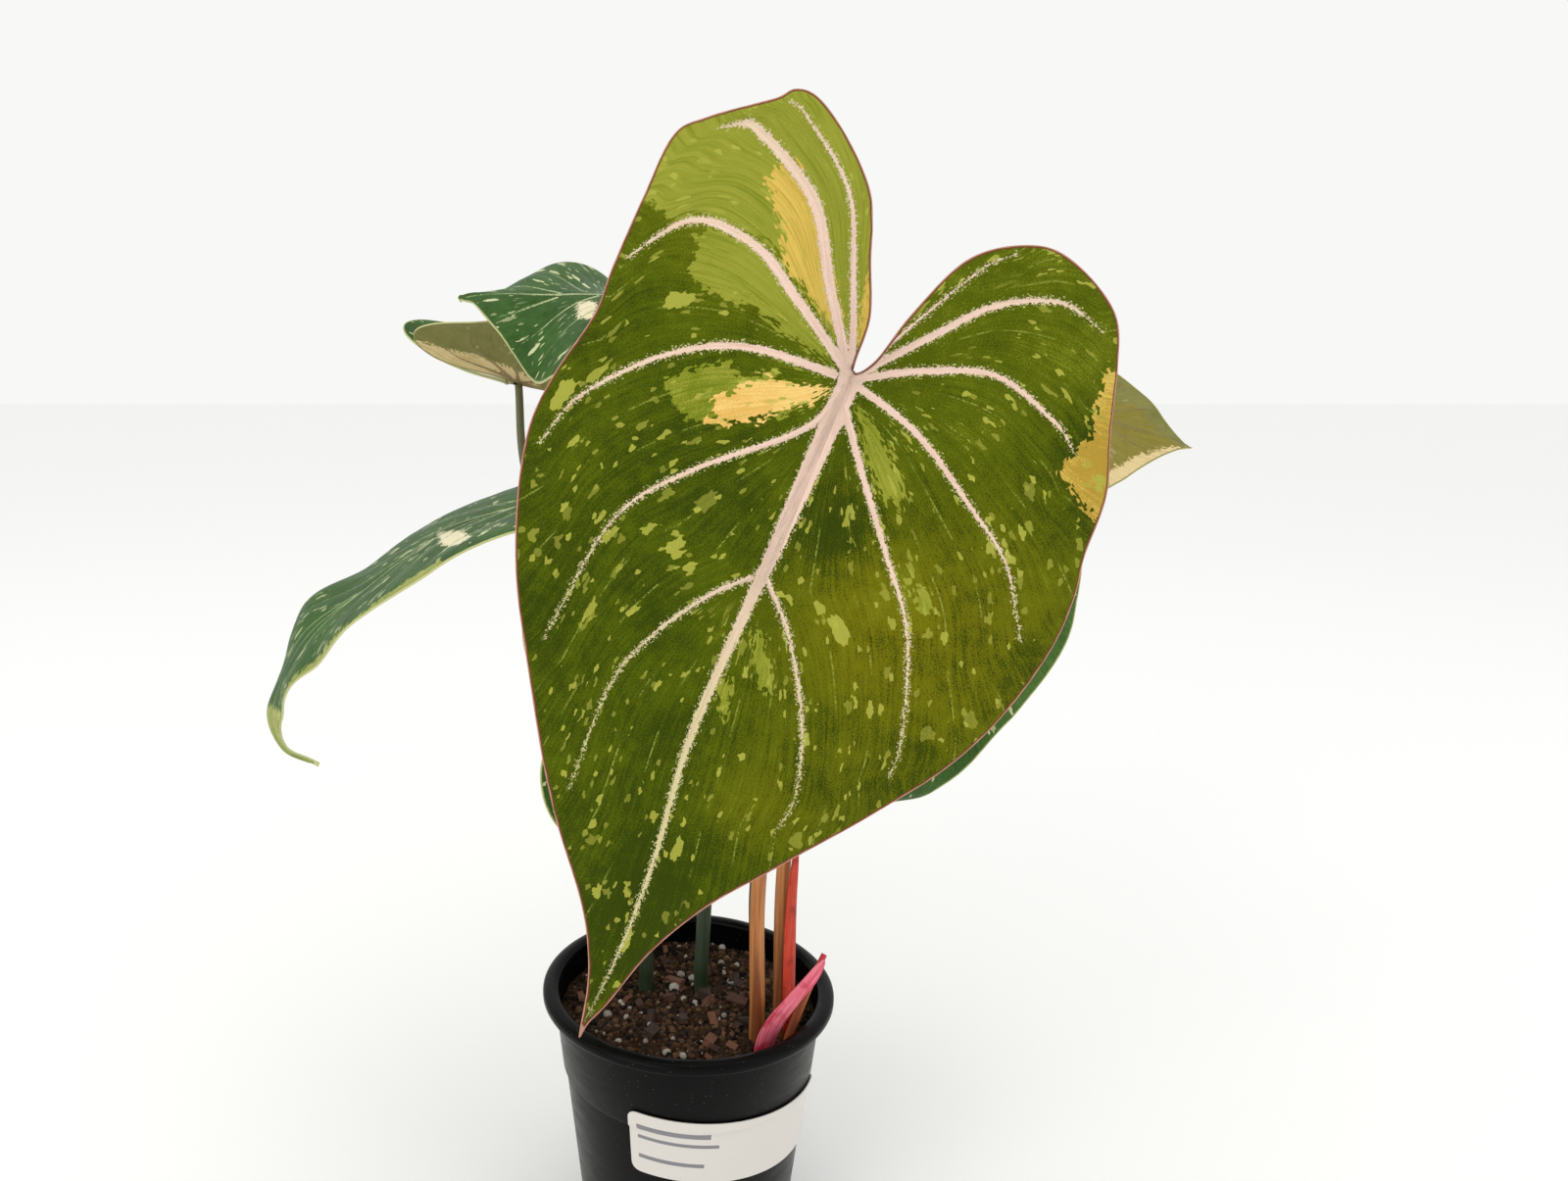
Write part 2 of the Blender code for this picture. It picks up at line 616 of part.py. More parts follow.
def label(collection):
    """A rounded sticker that follows the pot's cone, just clear of it."""
    middle_radius = pot_radius((LABEL_LOW + LABEL_HIGH) / 2)
    reach = math.radians(LABEL_RIGHT_DEG - LABEL_LEFT_DEG) * middle_radius
    height = LABEL_HIGH - LABEL_LOW
    outline = []
    for x, y, start in ((reach, height, 0), (0, height, 90), (0, 0, 180), (reach, 0, 270)):
        for degrees in (start, start + 45, start + 90):
            turn = math.radians(degrees)
            corner_x = x + LABEL_CORNER * (1 if x == 0 else -1)
            corner_y = y + LABEL_CORNER * (1 if y == 0 else -1)
            corner = (corner_x + LABEL_CORNER * math.cos(turn), corner_y + LABEL_CORNER * math.sin(turn))
            outline.append(corner)
    rim = resample(np.array(outline), LABEL_STEP, closed=True)
    grid = hex_points(rim, LABEL_STEP)
    grid = grid[inside(grid, rim)]
    grid = grid[distance_to_line(grid, rim, closed=True) > LABEL_STEP / 2]
    edges = [(i, (i + 1) % len(rim)) for i in range(len(rim))]
    flat = [rim]
    for z in (COLLAR_Z - COLLAR_STEP, COLLAR_Z):
        x = np.arange(-LABEL_STEP, reach + 2 * LABEL_STEP, LABEL_STEP)
        line = np.column_stack([x, z - LABEL_LOW + LABEL_SLOPE * x])
        start = sum(map(len, flat))
        edges += [(start + i, start + i + 1) for i in range(len(line) - 1)]
        flat.append(line)
        grid = grid[distance_to_line(grid, line) > LABEL_STEP / 2]
    flat.append(grid)
    points, _, faces, *_ = delaunay_2d_cdt([Vector(p) for p in np.vstack(flat)], edges, [], 1, 1e-4)
    points, faces = used_only(points, faces)
    sides = []
    for lift in (GAP + LABEL_THICKNESS, GAP):
        side = []
        for x, y in points:
            turn = math.radians(LABEL_LEFT_DEG) + x / middle_radius
            z = LABEL_LOW + y - LABEL_SLOPE * x
            radius = pot_radius(z) + lift
            side.append((radius * math.sin(turn), -radius * math.cos(turn), z))
        sides.append(np.array(side))
    mesh = mesh_from("label", *closed_sheet(*sides, faces))
    return add_object("label", mesh, collection, "white_label")


def soil_height(x, y):
    """The height of the soil's rough top at a place in the pot."""
    coarse = noise.noise(Vector((x, y, 0.0)) / COARSE_GRAIN)
    fine = noise.noise(Vector((x, y, POT_HEIGHT)) / FINE_GRAIN)
    return SOIL_TOP + SOIL_ROUGHNESS * (coarse + FINE_SHARE * fine)


def soil_block():
    """The soil as one block: a rough top on rings that follow the pot's inner wall down."""
    wall = POT_WALL + GAP
    top_radius = pot_radius(SOIL_TOP) - wall
    points = [(0.0, 0.0, soil_height(0.0, 0.0))]
    side = [
        (pot_radius(COLLAR_Z) - wall, COLLAR_Z),
        (pot_radius(COLLAR_Z - COLLAR_STEP) - wall, COLLAR_Z - COLLAR_STEP),
        (pot_radius(POT_FLOOR) - wall, POT_FLOOR + GAP),
    ]
    for ring in range(1, SOIL_RINGS + len(side) + 1):
        for sector in range(POT_SEGMENTS):
            turn = 2 * math.pi * sector / POT_SEGMENTS
            on_top = ring <= SOIL_RINGS
            radius, z = (top_radius * ring / SOIL_RINGS, 0.0) if on_top else side[ring - SOIL_RINGS - 1]
            x, y = radius * math.cos(turn), radius * math.sin(turn)
            points.append((x, y, soil_height(x, y) if on_top else z))
    points.append((0.0, 0.0, POT_FLOOR + GAP))
    faces = []
    for sector in range(POT_SEGMENTS):
        following = (sector + 1) % POT_SEGMENTS
        faces.append((0, 1 + sector, 1 + following))
        for ring in range(SOIL_RINGS + len(side) - 1):
            a = 1 + ring * POT_SEGMENTS
            b = a + POT_SEGMENTS
            faces += [(a + sector, b + sector, b + following), (a + sector, b + following, a + following)]
        last = 1 + (SOIL_RINGS + len(side) - 1) * POT_SEGMENTS
        faces.append((last + following, last + sector, len(points) - 1))
    return points, faces


def lump(name, kind, place, size, turn, collection):
    """A bark chip or a perlite ball, half sunk in the soil."""
    built = bmesh.new()
    if kind == "bark":
        bmesh.ops.create_cube(built, size=1.0)
    else:
        bmesh.ops.create_icosphere(built, subdivisions=1, radius=0.5)
    stretch = Matrix.Diagonal((*(v * MM for v in size), 1.0))
    move = Matrix.Translation(Vector(place) * MM)
    bmesh.ops.transform(built, matrix=move @ turn @ stretch, verts=built.verts)
    mesh = bpy.data.meshes.new(name)
    built.to_mesh(mesh)
    built.free()
    return add_object(name, mesh, collection)


def scatter_lumps(keep_clear, collection):
    """Seeded places for the lumps, clear of the stems, the pot's wall and each other."""
    draw = np.random.default_rng(SOIL_SEED)
    placed = []
    wall = pot_radius(SOIL_TOP) - POT_WALL
    while len(placed) < CHIP_COUNT + PERLITE_COUNT:
        kind = "bark" if len(placed) < CHIP_COUNT else "perlite"
        size = draw.uniform(*LUMP_SIZES, 3) * (BARK_SIZE if kind == "bark" else PERLITE_SIZE)
        half = np.linalg.norm(size) / 2
        radius, turn = (wall - half - GAP) * math.sqrt(draw.random()), 2 * math.pi * draw.random()
        x, y = radius * math.cos(turn), radius * math.sin(turn)
        tilt = Matrix.Rotation(draw.uniform(-LUMP_TILT, LUMP_TILT), 4, "X")
        spin = Matrix.Rotation(draw.uniform(0, math.tau), 4, "Z") @ tilt
        near_stem = any(math.hypot(x - a, y - b) < half + STEM_CLEARANCE for a, b in keep_clear)
        near_lump = any(math.hypot(x - a, y - b) < half + other + LUMP_GAP for a, b, other in placed)
        if near_stem or near_lump:
            continue
        placed.append((x, y, half))
        place = (x, y, soil_height(x, y) + LUMP_LIFT * min(size))
        lump(f"lump_{len(placed)}", kind, place, size, spin, collection)


def hole(name, x, y, radius, depth, collection):
    """A plain round cutter that a stem's foot stands in."""
    top = SOIL_TOP + 3 * SOIL_ROUGHNESS
    low = SOIL_TOP - depth
    bpy.ops.mesh.primitive_cylinder_add(
        vertices=12,
        radius=radius * MM,
        depth=(top - low) * MM,
        location=(x * MM, y * MM, (top + low) / 2 * MM),
    )
    cutter = bpy.context.object
    cutter.name = name
    for owner in list(cutter.users_collection):
        owner.objects.unlink(cutter)
    collection.objects.link(cutter)
    cutter.hide_render = True
    cutter.display_type = "WIRE"


def boolean(target, operation, collection):
    cut = target.modifiers.new(operation.lower(), "BOOLEAN")
    cut.operation = operation
    cut.operand_type = "COLLECTION"
    cut.collection = collection


def soil(collection, cutters):
    """The soil with its lumps fused on and a plain hole for each stem."""
    feet = []
    for leaf in LEAVES.values():
        x, y = leaf["petiole"][0]
        feet.append((x, y, PETIOLE_FOOT_RADIUS + HOLE_CLEARANCE, HOLE_DEPTH))
    for sheath in SHEATHS.values():
        (x, y, _), _ = sheath["stations"][0]
        feet.append((x, y, sheath["half_width"] + HOLE_CLEARANCE, SHEATH_HOLE_DEPTH))
    feet.append((*YOUNG_SHOOT[0][:2], YOUNG_SHOOT_RADII[0] + HOLE_CLEARANCE, SHEATH_HOLE_DEPTH))
    block = add_object("soil", mesh_from("soil", *soil_block()), collection, "soil_mix")
    lumps = new_collection("soil lumps")
    scatter_lumps([foot[:2] for foot in feet], lumps)
    boolean(block, "UNION", lumps)
    graph = bpy.context.evaluated_depsgraph_get()
    fused = bpy.data.meshes.new_from_object(block.evaluated_get(graph))
    block.modifiers.clear()
    block.data = fused
    for done in list(lumps.objects):
        bpy.data.objects.remove(done)
    bpy.data.collections.remove(lumps)
    for number, (x, y, radius, depth) in enumerate(feet, 1):
        hole(f"stem_hole_{number}", x, y, radius, depth, cutters)
    boolean(block, "DIFFERENCE", cutters)


def leaves(collection):
    """Each leaf's blade and the petiole that carries it."""
    for name, leaf in LEAVES.items():
        blade = Blade(leaf)
        steps, green = (FRONT_STEPS, "young_leaf") if name == "front" else (BACK_STEPS, "mature_leaf")
        mesh = blade.solid(f"{name}_blade", *steps)
        add_object(f"{name}_blade", mesh, collection, green)
        finish = "tan_petiole" if name in TAN_PETIOLES else "green_petiole"
        radii = (PETIOLE_FOOT_RADIUS, PETIOLE_TOP_RADIUS)
        petiole(f"{name}_petiole", petiole_route(leaf, blade, mesh), radii, collection, finish)


def shoots(collection):
    """The two cataphylls and the spike of the next leaf."""
    for name, sheath in SHEATHS.items():
        mesh = Blade(sheath).solid(name, *SHEATH_STEPS)
        add_object(name, mesh, collection, name)
    petiole("young_shoot", YOUNG_SHOOT, YOUNG_SHOOT_RADII, collection, "tan_petiole")


def build():
    for old in list(bpy.data.objects):
        bpy.data.objects.remove(old)
    parts = new_collection("potted philodendron")
    cutters = new_collection("cutters")
    pot(parts)
    label(parts)
    soil(parts, cutters)
    leaves(parts)
    shoots(parts)


if __name__ == "__main__":
    build()
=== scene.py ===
"""The looks of a variegated Philodendron gloriosum in a nursery pot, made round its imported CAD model.

Everything is in metres, +Z up, in the CAD model's own frame, and the front leaf faces -Y.
Leaf and pot sizes are written in millimetres, and MM turns them to metres as a mesh is made.
"""

import math
from functools import partial

import bmesh
import bpy
import numpy as np
from bpy.props import FloatProperty, FloatVectorProperty, IntProperty, PointerProperty
from bpy.types import Operator, Panel, PropertyGroup
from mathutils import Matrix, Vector, noise
from mathutils.geometry import delaunay_2d_cdt


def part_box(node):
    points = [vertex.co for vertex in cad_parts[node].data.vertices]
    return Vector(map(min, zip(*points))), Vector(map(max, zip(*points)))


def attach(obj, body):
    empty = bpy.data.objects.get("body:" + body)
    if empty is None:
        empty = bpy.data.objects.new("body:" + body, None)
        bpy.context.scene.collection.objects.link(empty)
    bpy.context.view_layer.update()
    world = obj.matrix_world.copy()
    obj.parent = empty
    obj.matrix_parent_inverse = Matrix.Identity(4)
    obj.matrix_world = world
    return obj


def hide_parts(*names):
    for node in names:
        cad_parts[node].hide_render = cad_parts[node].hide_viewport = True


bl_info = {
    "name": "Potted philodendron",
    "version": (1, 0, 0),
    "blender": (4, 5, 0),
    "location": "3D View > Sidebar > Philodendron",
    "description": "Builds a variegated philodendron in a nursery pot, with its soil, label and studio",
    "category": "Add Mesh",
}

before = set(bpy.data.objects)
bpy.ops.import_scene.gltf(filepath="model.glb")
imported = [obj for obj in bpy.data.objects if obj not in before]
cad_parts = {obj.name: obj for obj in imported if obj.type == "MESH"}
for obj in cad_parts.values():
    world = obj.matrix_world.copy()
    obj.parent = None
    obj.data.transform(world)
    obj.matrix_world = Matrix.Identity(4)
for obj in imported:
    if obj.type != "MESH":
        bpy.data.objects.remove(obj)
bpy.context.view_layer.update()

MM = 0.001
POT_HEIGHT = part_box("pot")[1].z / MM
LIP_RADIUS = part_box("pot")[1].x / MM

# Pot, as the CAD model has it
LIP_HEIGHT = 4.0
POT_TOP_RADIUS = 49.6
POT_BASE_RADIUS = 38.2
POT_WALL = 1.6
POT_FLOOR = 2.0
COLLAR_Z = 69.5
COLLAR_STEP = 1.0
COLLAR_RADIUS = 46.7
LIP_LOW = POT_HEIGHT - LIP_HEIGHT
LIP_CROWN = 1.8
LIP_STEPS = 14
POT_SEGMENTS = 144

# Label
LABEL_LOW, LABEL_HIGH = 50.8, 76.3  # at its left end
LABEL_LEFT_DEG, LABEL_RIGHT_DEG = -28.0, 77.0  # from the pot's front, to the right
LABEL_SLOPE = 0.085  # it is stuck on askew and drops to the right
LABEL_CORNER = 3.0
LABEL_THICKNESS = 0.4
LABEL_STEP = 1.4
# Its ruled lines: middle height, half width, start and end
LABEL_RULES = ((19.6, 1.3, 3.0, 28.0), (15.2, 0.7, 3.0, 31.0), (7.0, 0.8, 3.0, 26.0))
GAP = 0.35

# Soil
SOIL_TOP = 90.0
SOIL_ROUGHNESS = 1.6
COARSE_GRAIN, FINE_GRAIN = 14.0, 5.0
FINE_SHARE = 0.6
HOLE_DEPTH = 14.0
HOLE_CLEARANCE = 0.2
SHEATH_HOLE_DEPTH = 8.0
SOIL_SEGMENTS = 144
CRUMB_HEIGHT = 0.9
# The crumbs' noises: width, level in the noise and share
CRUMB_NOISES = ((2.6, 3.0, 1.0), (1.1, 9.0, 0.55))
# Perlite and bark seen in the photograph: place and width
PERLITE_SEEN = (
    (16.4, 41.5, 3.0), (37.2, 34.1, 2.6), (-1.3, 41.9, 2.2), (15, 28.6, 2.6), (21, 26.4, 2.2),
    (-4.5, 10.4, 4.2), (18.5, 15.4, 2.6), (-3.2, -34.5, 2.6), (-16.4, 40.4, 2.6), (-8.5, -38.0, 1.8),
)
BARK_SEEN = ((6.4, 4.9, 9.0), (18.8, 1.5, 7.5), (7.0, -23.9, 7.0), (-14.0, -20.0, 8.0))

# Blades
BLADE_THICKNESS = 0.8
MARGIN_THICKNESS = 0.65
RIB_DEPTH = 0.9
RIB_WIDTH = 1.5
RIB_FADE = 12.0
QUILT_HEIGHT = 0.9
QUILT_REACH = 7.0
MARGIN_DROP = 1.4
MARGIN_REACH = 9.0
WAVE_REACH = 0.12
HALF_SHIFT = 1.3
GROOVE_DEPTH = 0.25
GROOVE_FADE = 3.0
NERVE_HEIGHT = 0.05
NERVE_FADE = 6.0
NERVES_BETWEEN = 4
SHEATH_STEP = 0.8
NO_PATCH = -50.0

# Petioles
PETIOLE_FOOT_RADIUS = 3.0
PETIOLE_TOP_RADIUS = 1.9
ATTACHMENT = (2.5, 0.0)
PETIOLE_SIDES = 20
PETIOLE_STEP = 2.5
TAN_PETIOLES = ("front", "lower_right")

# Half of a gloriosum's heart shape: along the midrib in leaf lengths, across in half widths
HEART = (
    (-0.02, 0.0), (-0.06, 0.05), (-0.14, 0.10), (-0.23, 0.18), (-0.29, 0.32), (-0.30, 0.50),
    (-0.26, 0.68), (-0.18, 0.83), (-0.07, 0.94), (0.06, 0.99), (0.20, 1.0), (0.34, 0.94),
    (0.48, 0.80), (0.61, 0.62), (0.73, 0.42), (0.83, 0.24), (0.91, 0.11), (0.96, 0.05), (1.0, 0.0),
)
# The main veins of one half, in the same units
HEART_VEINS = (
    ((-0.01, 0.03), (-0.09, 0.14), (-0.17, 0.24), (-0.23, 0.38)),
    ((-0.01, 0.04), (-0.08, 0.24), (-0.15, 0.45), (-0.17, 0.68)),
    ((0.01, 0.04), (-0.02, 0.28), (0.0, 0.56), (0.07, 0.80)),
    ((0.03, 0.03), (0.10, 0.22), (0.20, 0.48), (0.32, 0.74)),
    ((0.13, 0.03), (0.24, 0.16), (0.36, 0.38), (0.48, 0.62)),
    ((0.31, 0.03), (0.42, 0.14), (0.54, 0.30), (0.64, 0.42)),
    ((0.51, 0.03), (0.62, 0.10), (0.72, 0.18), (0.79, 0.22)),
)
HEART_MIDRIB = ((0.0, 0.0), (0.3, 0.0), (0.6, 0.0), (0.96, 0.0))

# Half of a cataphyll's outline, from its foot to its point, in the same units
LANCE = ((0.0, 0.0), (0.0, 0.55), (0.25, 0.95), (0.5, 1.0), (0.75, 0.72), (0.92, 0.28), (1.0, 0.0))
# The open cataphyll is widest where it wraps its neighbours
OPEN_SHEATH = (
    (0.0, 0.0), (0.0, 0.8), (0.12, 1.0), (0.35, 0.85), (0.6, 0.6), (0.85, 0.5), (0.96, 0.25), (1.0, 0.0),
)
LANCE_MIDRIB = ((0.05, 0.0), (0.5, 0.0), (0.95, 0.0))

# The front leaf's outline in millimetres, left half first
FRONT_OUTLINE = (
    (-2, 0), (-15, -1), (-28, -6), (-36, -9), (-43, -13), (-51, -22), (-57, -32), (-57, -38),
    (-53, -42), (-44, -55), (-37, -61), (-21, -62), (-3, -62.4), (9, -62.2), (25, -66), (39, -67),
    (56, -62.9), (77, -55), (100, -42.2), (123, -28), (144, -13), (156, -6.4), (166, -2.8), (179, 0),
    (175, 1), (167, 4), (148, 9), (131, 17), (115, 30), (98, 44), (80.5, 55.8), (61, 64.8), (43, 70),
    (29, 70), (18, 67.6), (3, 66.8), (-10, 63), (-26, 58), (-37, 52), (-44, 38), (-44, 27), (-36, 15),
    (-20, 8), (-6, 4),
)
FRONT_MIDRIB = ((0, 0), (41, -1), (60, -2), (95, -3), (127, 0), (154, 1), (173, 0))
# Its veins, round from the right side of the sinus to the left side
FRONT_VEINS = (
    ((-3, 2), (-17, 9), (-35, 19), (-41, 25)),
    ((-1, 1), (-16, 14), (-28, 25), (-34, 37), (-34, 44), (-32, 51)),
    ((0, 1), (-8, 16), (-13, 32), (-8, 49), (-3, 56)),
    ((1, 1), (7, 20), (18, 38), (27, 51), (43, 62)),
    ((7, 1), (20, 11), (36, 24), (52, 36), (76, 44), (86, 45)),
    ((52, 0), (63, 10), (80, 20), (98, 26), (109, 25)),
    ((53, -4), (61, -12), (75, -21), (90, -26), (117, -26)),
    ((4, -1), (16, -6), (36, -28), (53, -40), (85, -45)),
    ((1, -4), (3, -26), (12, -43), (28, -58), (42, -63)),
    ((-1, -2), (-12, -19), (-20, -33), (-20, -49), (-6, -60)),
    ((-2, -2), (-18, -13), (-35, -24), (-45, -42), (-45, -47), (-42, -52)),
    ((-3, -1), (-21, -8), (-40, -17), (-52, -33), (-54, -38)),
)
# Half widths of the pale band on the midrib and on each vein, at even steps from its start to its end
FRONT_MIDRIB_WIDTH = (2.8, 1.9, 1.3, 0.8, 0.45, 0.1)
FRONT_VEIN_WIDTHS = (
    (0.6, 0.4, 0.25, 0.1), (1.0, 0.9, 0.6, 0.1), (1.0, 0.9, 0.7, 0.1), (1.0, 0.8, 0.5, 0.1),
    (1.0, 0.8, 0.45, 0.1), (0.7, 0.6, 0.35, 0.1), (0.8, 0.6, 0.35, 0.1), (1.0, 0.8, 0.5, 0.1),
    (1.1, 0.9, 0.6, 0.1), (1.1, 1.3, 1.1, 0.2), (1.1, 1.5, 1.2, 0.1), (1.0, 0.8, 0.5, 0.2),
)
HEART_MIDRIB_WIDTH = (1.2, 0.9, 0.6, 0.2)
HEART_VEIN_WIDTH = (0.7, 0.55, 0.35, 0.1)

# Patches of lighter colour, each an outline on the flat blade in millimetres
FRONT_PATCHES = {
    "lime": (
        (
            (-24, -70), (-19, -55), (-22, -46), (-22, -31), (-14, -18), (-4, -5), (-9, 2), (-35, 2),
            (-62, -26), (-60, -60),
        ),
        ((-19, -46), (-8, -45), (-5, -38), (-6, -28), (-3, -18), (-1, -5), (-10, -14), (-18, -26), (-21, -34)),
        ((18, -41), (12, -35), (8, -28), (10, -24), (6, -17), (8, -5), (14, -11), (22, -24), (24, -33)),
        ((6, 4), (8, 9), (12, 14), (20, 22), (25, 23), (24, 18), (16, 10)),
        ((65, 1), (65, 4), (73, 10), (77, 12), (77, 8)),
        ((79, -2), (77, 1), (83, 3), (87, 3), (83, 0)),
        ((40, 31), (40, 36), (44, 40), (46, 37)),
    ),
    "gold": (
        ((-35, -36), (-42, -34), (-41, -30), (-28, -18), (-8, -5), (-12, -14), (-19, -25), (-27, -30)),
        ((-25, 56), (-26, 72), (12, 76), (8, 62), (3, 54), (-2, 55), (-8, 58), (-12, 57), (-19, 56)),
        ((-33, -7), (-22, -5), (-8, -2), (-7, 2), (-34, 2)),
    ),
    "cream": (
        ((17, -29), (13, -24), (8, -19), (7, -15), (5, -4), (8, -5), (13, -12), (19, -18),
            (23, -28), (20, -27)),
    ),
}
# Places where the front leaf's green is warmer or lighter: s, t, reach, warmer, lighter. Some are the leaf's
# own colour. The dark spot right of the midrib near the petiole is painted shade of a fold. The darker left
# side and the warmer right side, lighter in places, are painted shade and painted light coming through the
# blade
FRONT_TONES_AND_PAINTED_LIGHT = (
    (70, -46, 34, -0.2, -0.30), (20, -52, 28, -0.1, -0.15), (-38, -36, 26, 0.5, 0.65),
    (-22, 44, 24, 0.1, 0.20), (34, 9, 9, 0.1, -0.60), (52, 24, 18, 0.5, 0.15),
    (86, 44, 34, 0.35, -0.15), (44, 50, 26, 0.6, -0.10), (104, 18, 12, 0.3, 0.15),
    (112, -10, 20, 0.0, -0.10), (30, -18, 16, 0.0, -0.25), (146, 2, 30, -0.2, -0.55),
    (-4, 64, 14, 0.0, -0.70),
)

# A station is a point on the midrib and the direction across the blade there, towards t > 0.
# A petiole is its place in the soil and the points that its route passes.
LEAVES = {
    "front": {
        "shape": "front",
        "patches": FRONT_PATCHES,
        "tones_and_painted_light": FRONT_TONES_AND_PAINTED_LIGHT,
        "half_width": 68.0,
        "stations": (
            ((30.6, -115.6, 325.4), (0.92, -0.08, -0.37)), ((11.7, -123, 279.5), (0.92, -0.08, -0.37)),
            ((-8.5, -128.5, 228), (0.92, -0.08, -0.37)), ((-23.7, -130.5, 189), (0.92, -0.08, -0.37)),
            ((-34.5, -129.5, 161), (0.92, -0.08, -0.37)),
        ),
        "fold": (4.0, 4.0),
        "curl": -0.12,
        "waves": (3.0, 1.6, 0.4),
        "petiole": ((23.6, -21.5), ((22.5, -26, 150), (23.6, -52, 222), (28.3, -86, 288))),
    },
    "lower_right": {
        "patches": {"lime": (((98, 30), (108, 26), (118, 18), (128, 9), (116, 8), (104, 17)),)},
        "tones_and_painted_light": ((60, 45, 24, 0.3, 0.25),),
        "half_width": 59.7,
        "stations": (
            ((85, 20, 280), (0.95, -0.16, -0.27)), ((79, 4, 245), (0.94, -0.21, -0.26)),
            ((75.5, -4, 207), (0.94, -0.24, -0.24)), ((74, -1, 179), (0.95, -0.19, -0.25)),
            ((66, 9, 162), (0.95, -0.17, -0.25)),
        ),
        "fold": (3.0, -3.0),
        "curl": -0.25,
        "waves": (3.0, 2.5, 0.0),
        "petiole": ((32.5, -17), ((33.9, -6, 150), (44.4, 26, 200), (67.2, 42, 246))),
    },
    "left": {
        "patches": {
            "cream": (((54, -6), (44, 12), (37, 40), (44, 42), (52, 22)),),
            "lime": (
                ((144, 22), (182, 8), (190, 0), (182, -8), (150, -12)),
                ((50, 46), (92, 38), (120, 24), (150, 14), (150, 40), (92, 60), (50, 60)),
            ),
        },
        "half_width": 50.9,
        "stations": (
            ((-43.1, 46, 276), (-0.04, -0.99, -0.06)), ((-67.1, 45, 271), (0.02, -0.99, -0.05)),
            ((-96.1, 43, 260), (0.15, -0.96, -0.02)), ((-124, 39, 240), (0.23, -0.93, 0.03)),
            ((-143, 36, 225), (0.44, -0.83, -0.02)), ((-153.8, 34, 209), (0.43, -0.80, 0.27)),
            ((-159.6, 32, 193), (0.45, -0.80, 0.23)), ((-154.7, 29, 180), (0.34, -0.86, 0.20)),
            ((-140.6, 28, 174), (0.23, -0.89, 0.29)),
        ),
        "fold": (1.0, 1.0),
        "curl": -0.05,
        "waves": (2.0, 1.2, 0.0),
        "petiole": ((-15.5, 11), ((-19, 20, 150), (-27.2, 30, 205), (-37.2, 40, 250))),
    },
    "upper_left": {
        "patches": {"cream": (((36, 7), (27, 9), (23, 26), (31, 23)),)},
        "half_width": 66.1,
        "stations": (
            ((-7, 103, 350), (-0.21, -0.94, -0.29)), ((-34, 110, 353), (-0.23, -0.95, -0.23)),
            ((-61, 117, 353), (-0.28, -0.77, -0.58)), ((-84, 118, 354), (-0.27, -0.91, -0.32)),
            ((-92, 117, 353), (-0.34, -0.92, -0.18)), ((-95, 117, 351), (-0.38, -0.90, -0.21)),
        ),
        "fold": (-12.0, -12.0),
        "curl": -0.1,
        "waves": (2.0, 2.0, 0.0),
        "petiole": ((5.8, 10), ((10.2, 22, 150), (26.8, 50, 225), (25.3, 86, 305))),
    },
    "back_left": {
        "patches": {
            "cream": (
                ((-36, 24), (-20, 30), (-4, 28), (8, 20), (16, 2), (4, -6), (-22, -14), (-50, -16), (-48, 10)),
            ),
        },
        "half_width": 46.7,
        "stations": (
            ((-75, 152, 315), (-0.22, 0.78, -0.59)), ((-26, 169, 303), (-0.22, 0.83, -0.52)),
            ((26, 189, 286), (-0.23, 0.83, -0.51)), ((78, 209, 264), (-0.23, 0.80, -0.55)),
        ),
        "fold": (4.0, 75.0),
        "curl": -0.2,
        "waves": (2.0, 2.0, 0.0),
        "petiole": ((-18, 32), ((-20, 74, 122), (-28, 102, 165), (-52, 124, 222), (-69, 138, 275))),
    },
    "right": {
        "patches": {
            "lime": (((55, -12), (84, -11), (99, 0), (106, 3), (90, 24), (66, 46), (40, 46), (30, 5)),),
            "cream": (((62, 26), (76, 17), (96, 6), (112, 1), (106, 14), (84, 34), (62, 48)),),
        },
        "half_width": 46.6,
        "stations": (
            ((118, 56, 306), (0.26, -0.09, -0.96)), ((146, 77, 308), (0.30, -0.17, -0.94)),
            ((180, 92, 300), (0.42, -0.38, -0.83)), ((217, 102, 289), (0.40, -0.28, -0.87)),
        ),
        "fold": (-2.0, -2.0),
        "curl": -0.1,
        "waves": (2.0, 2.0, 0.0),
        "petiole": (
            (26, -2), ((27.5, 8, 150), (54, 44, 205), (84, 38, 240), (99, 28, 263), (115, 33, 287)),
        ),
    },
    "low_left": {
        "half_width": 64.0,
        "stations": (
            ((-34.2, 51, 194), (0.03, 0.24, 0.97)), ((-9.2, 71, 195), (0.0, 0.20, 0.98)),
            ((16.8, 96, 191), (0.05, 0.18, 0.98)), ((43.8, 117, 183), (0.10, 0.17, 0.98)),
        ),
        "fold": (3.0, 3.0),
        "curl": -0.2,
        "waves": (2.0, 2.0, 0.0),
        "petiole": ((-29.7, 10), ((-34.3, 34, 118), (-43.5, 62, 150), (-45, 72, 178))),
    },
}

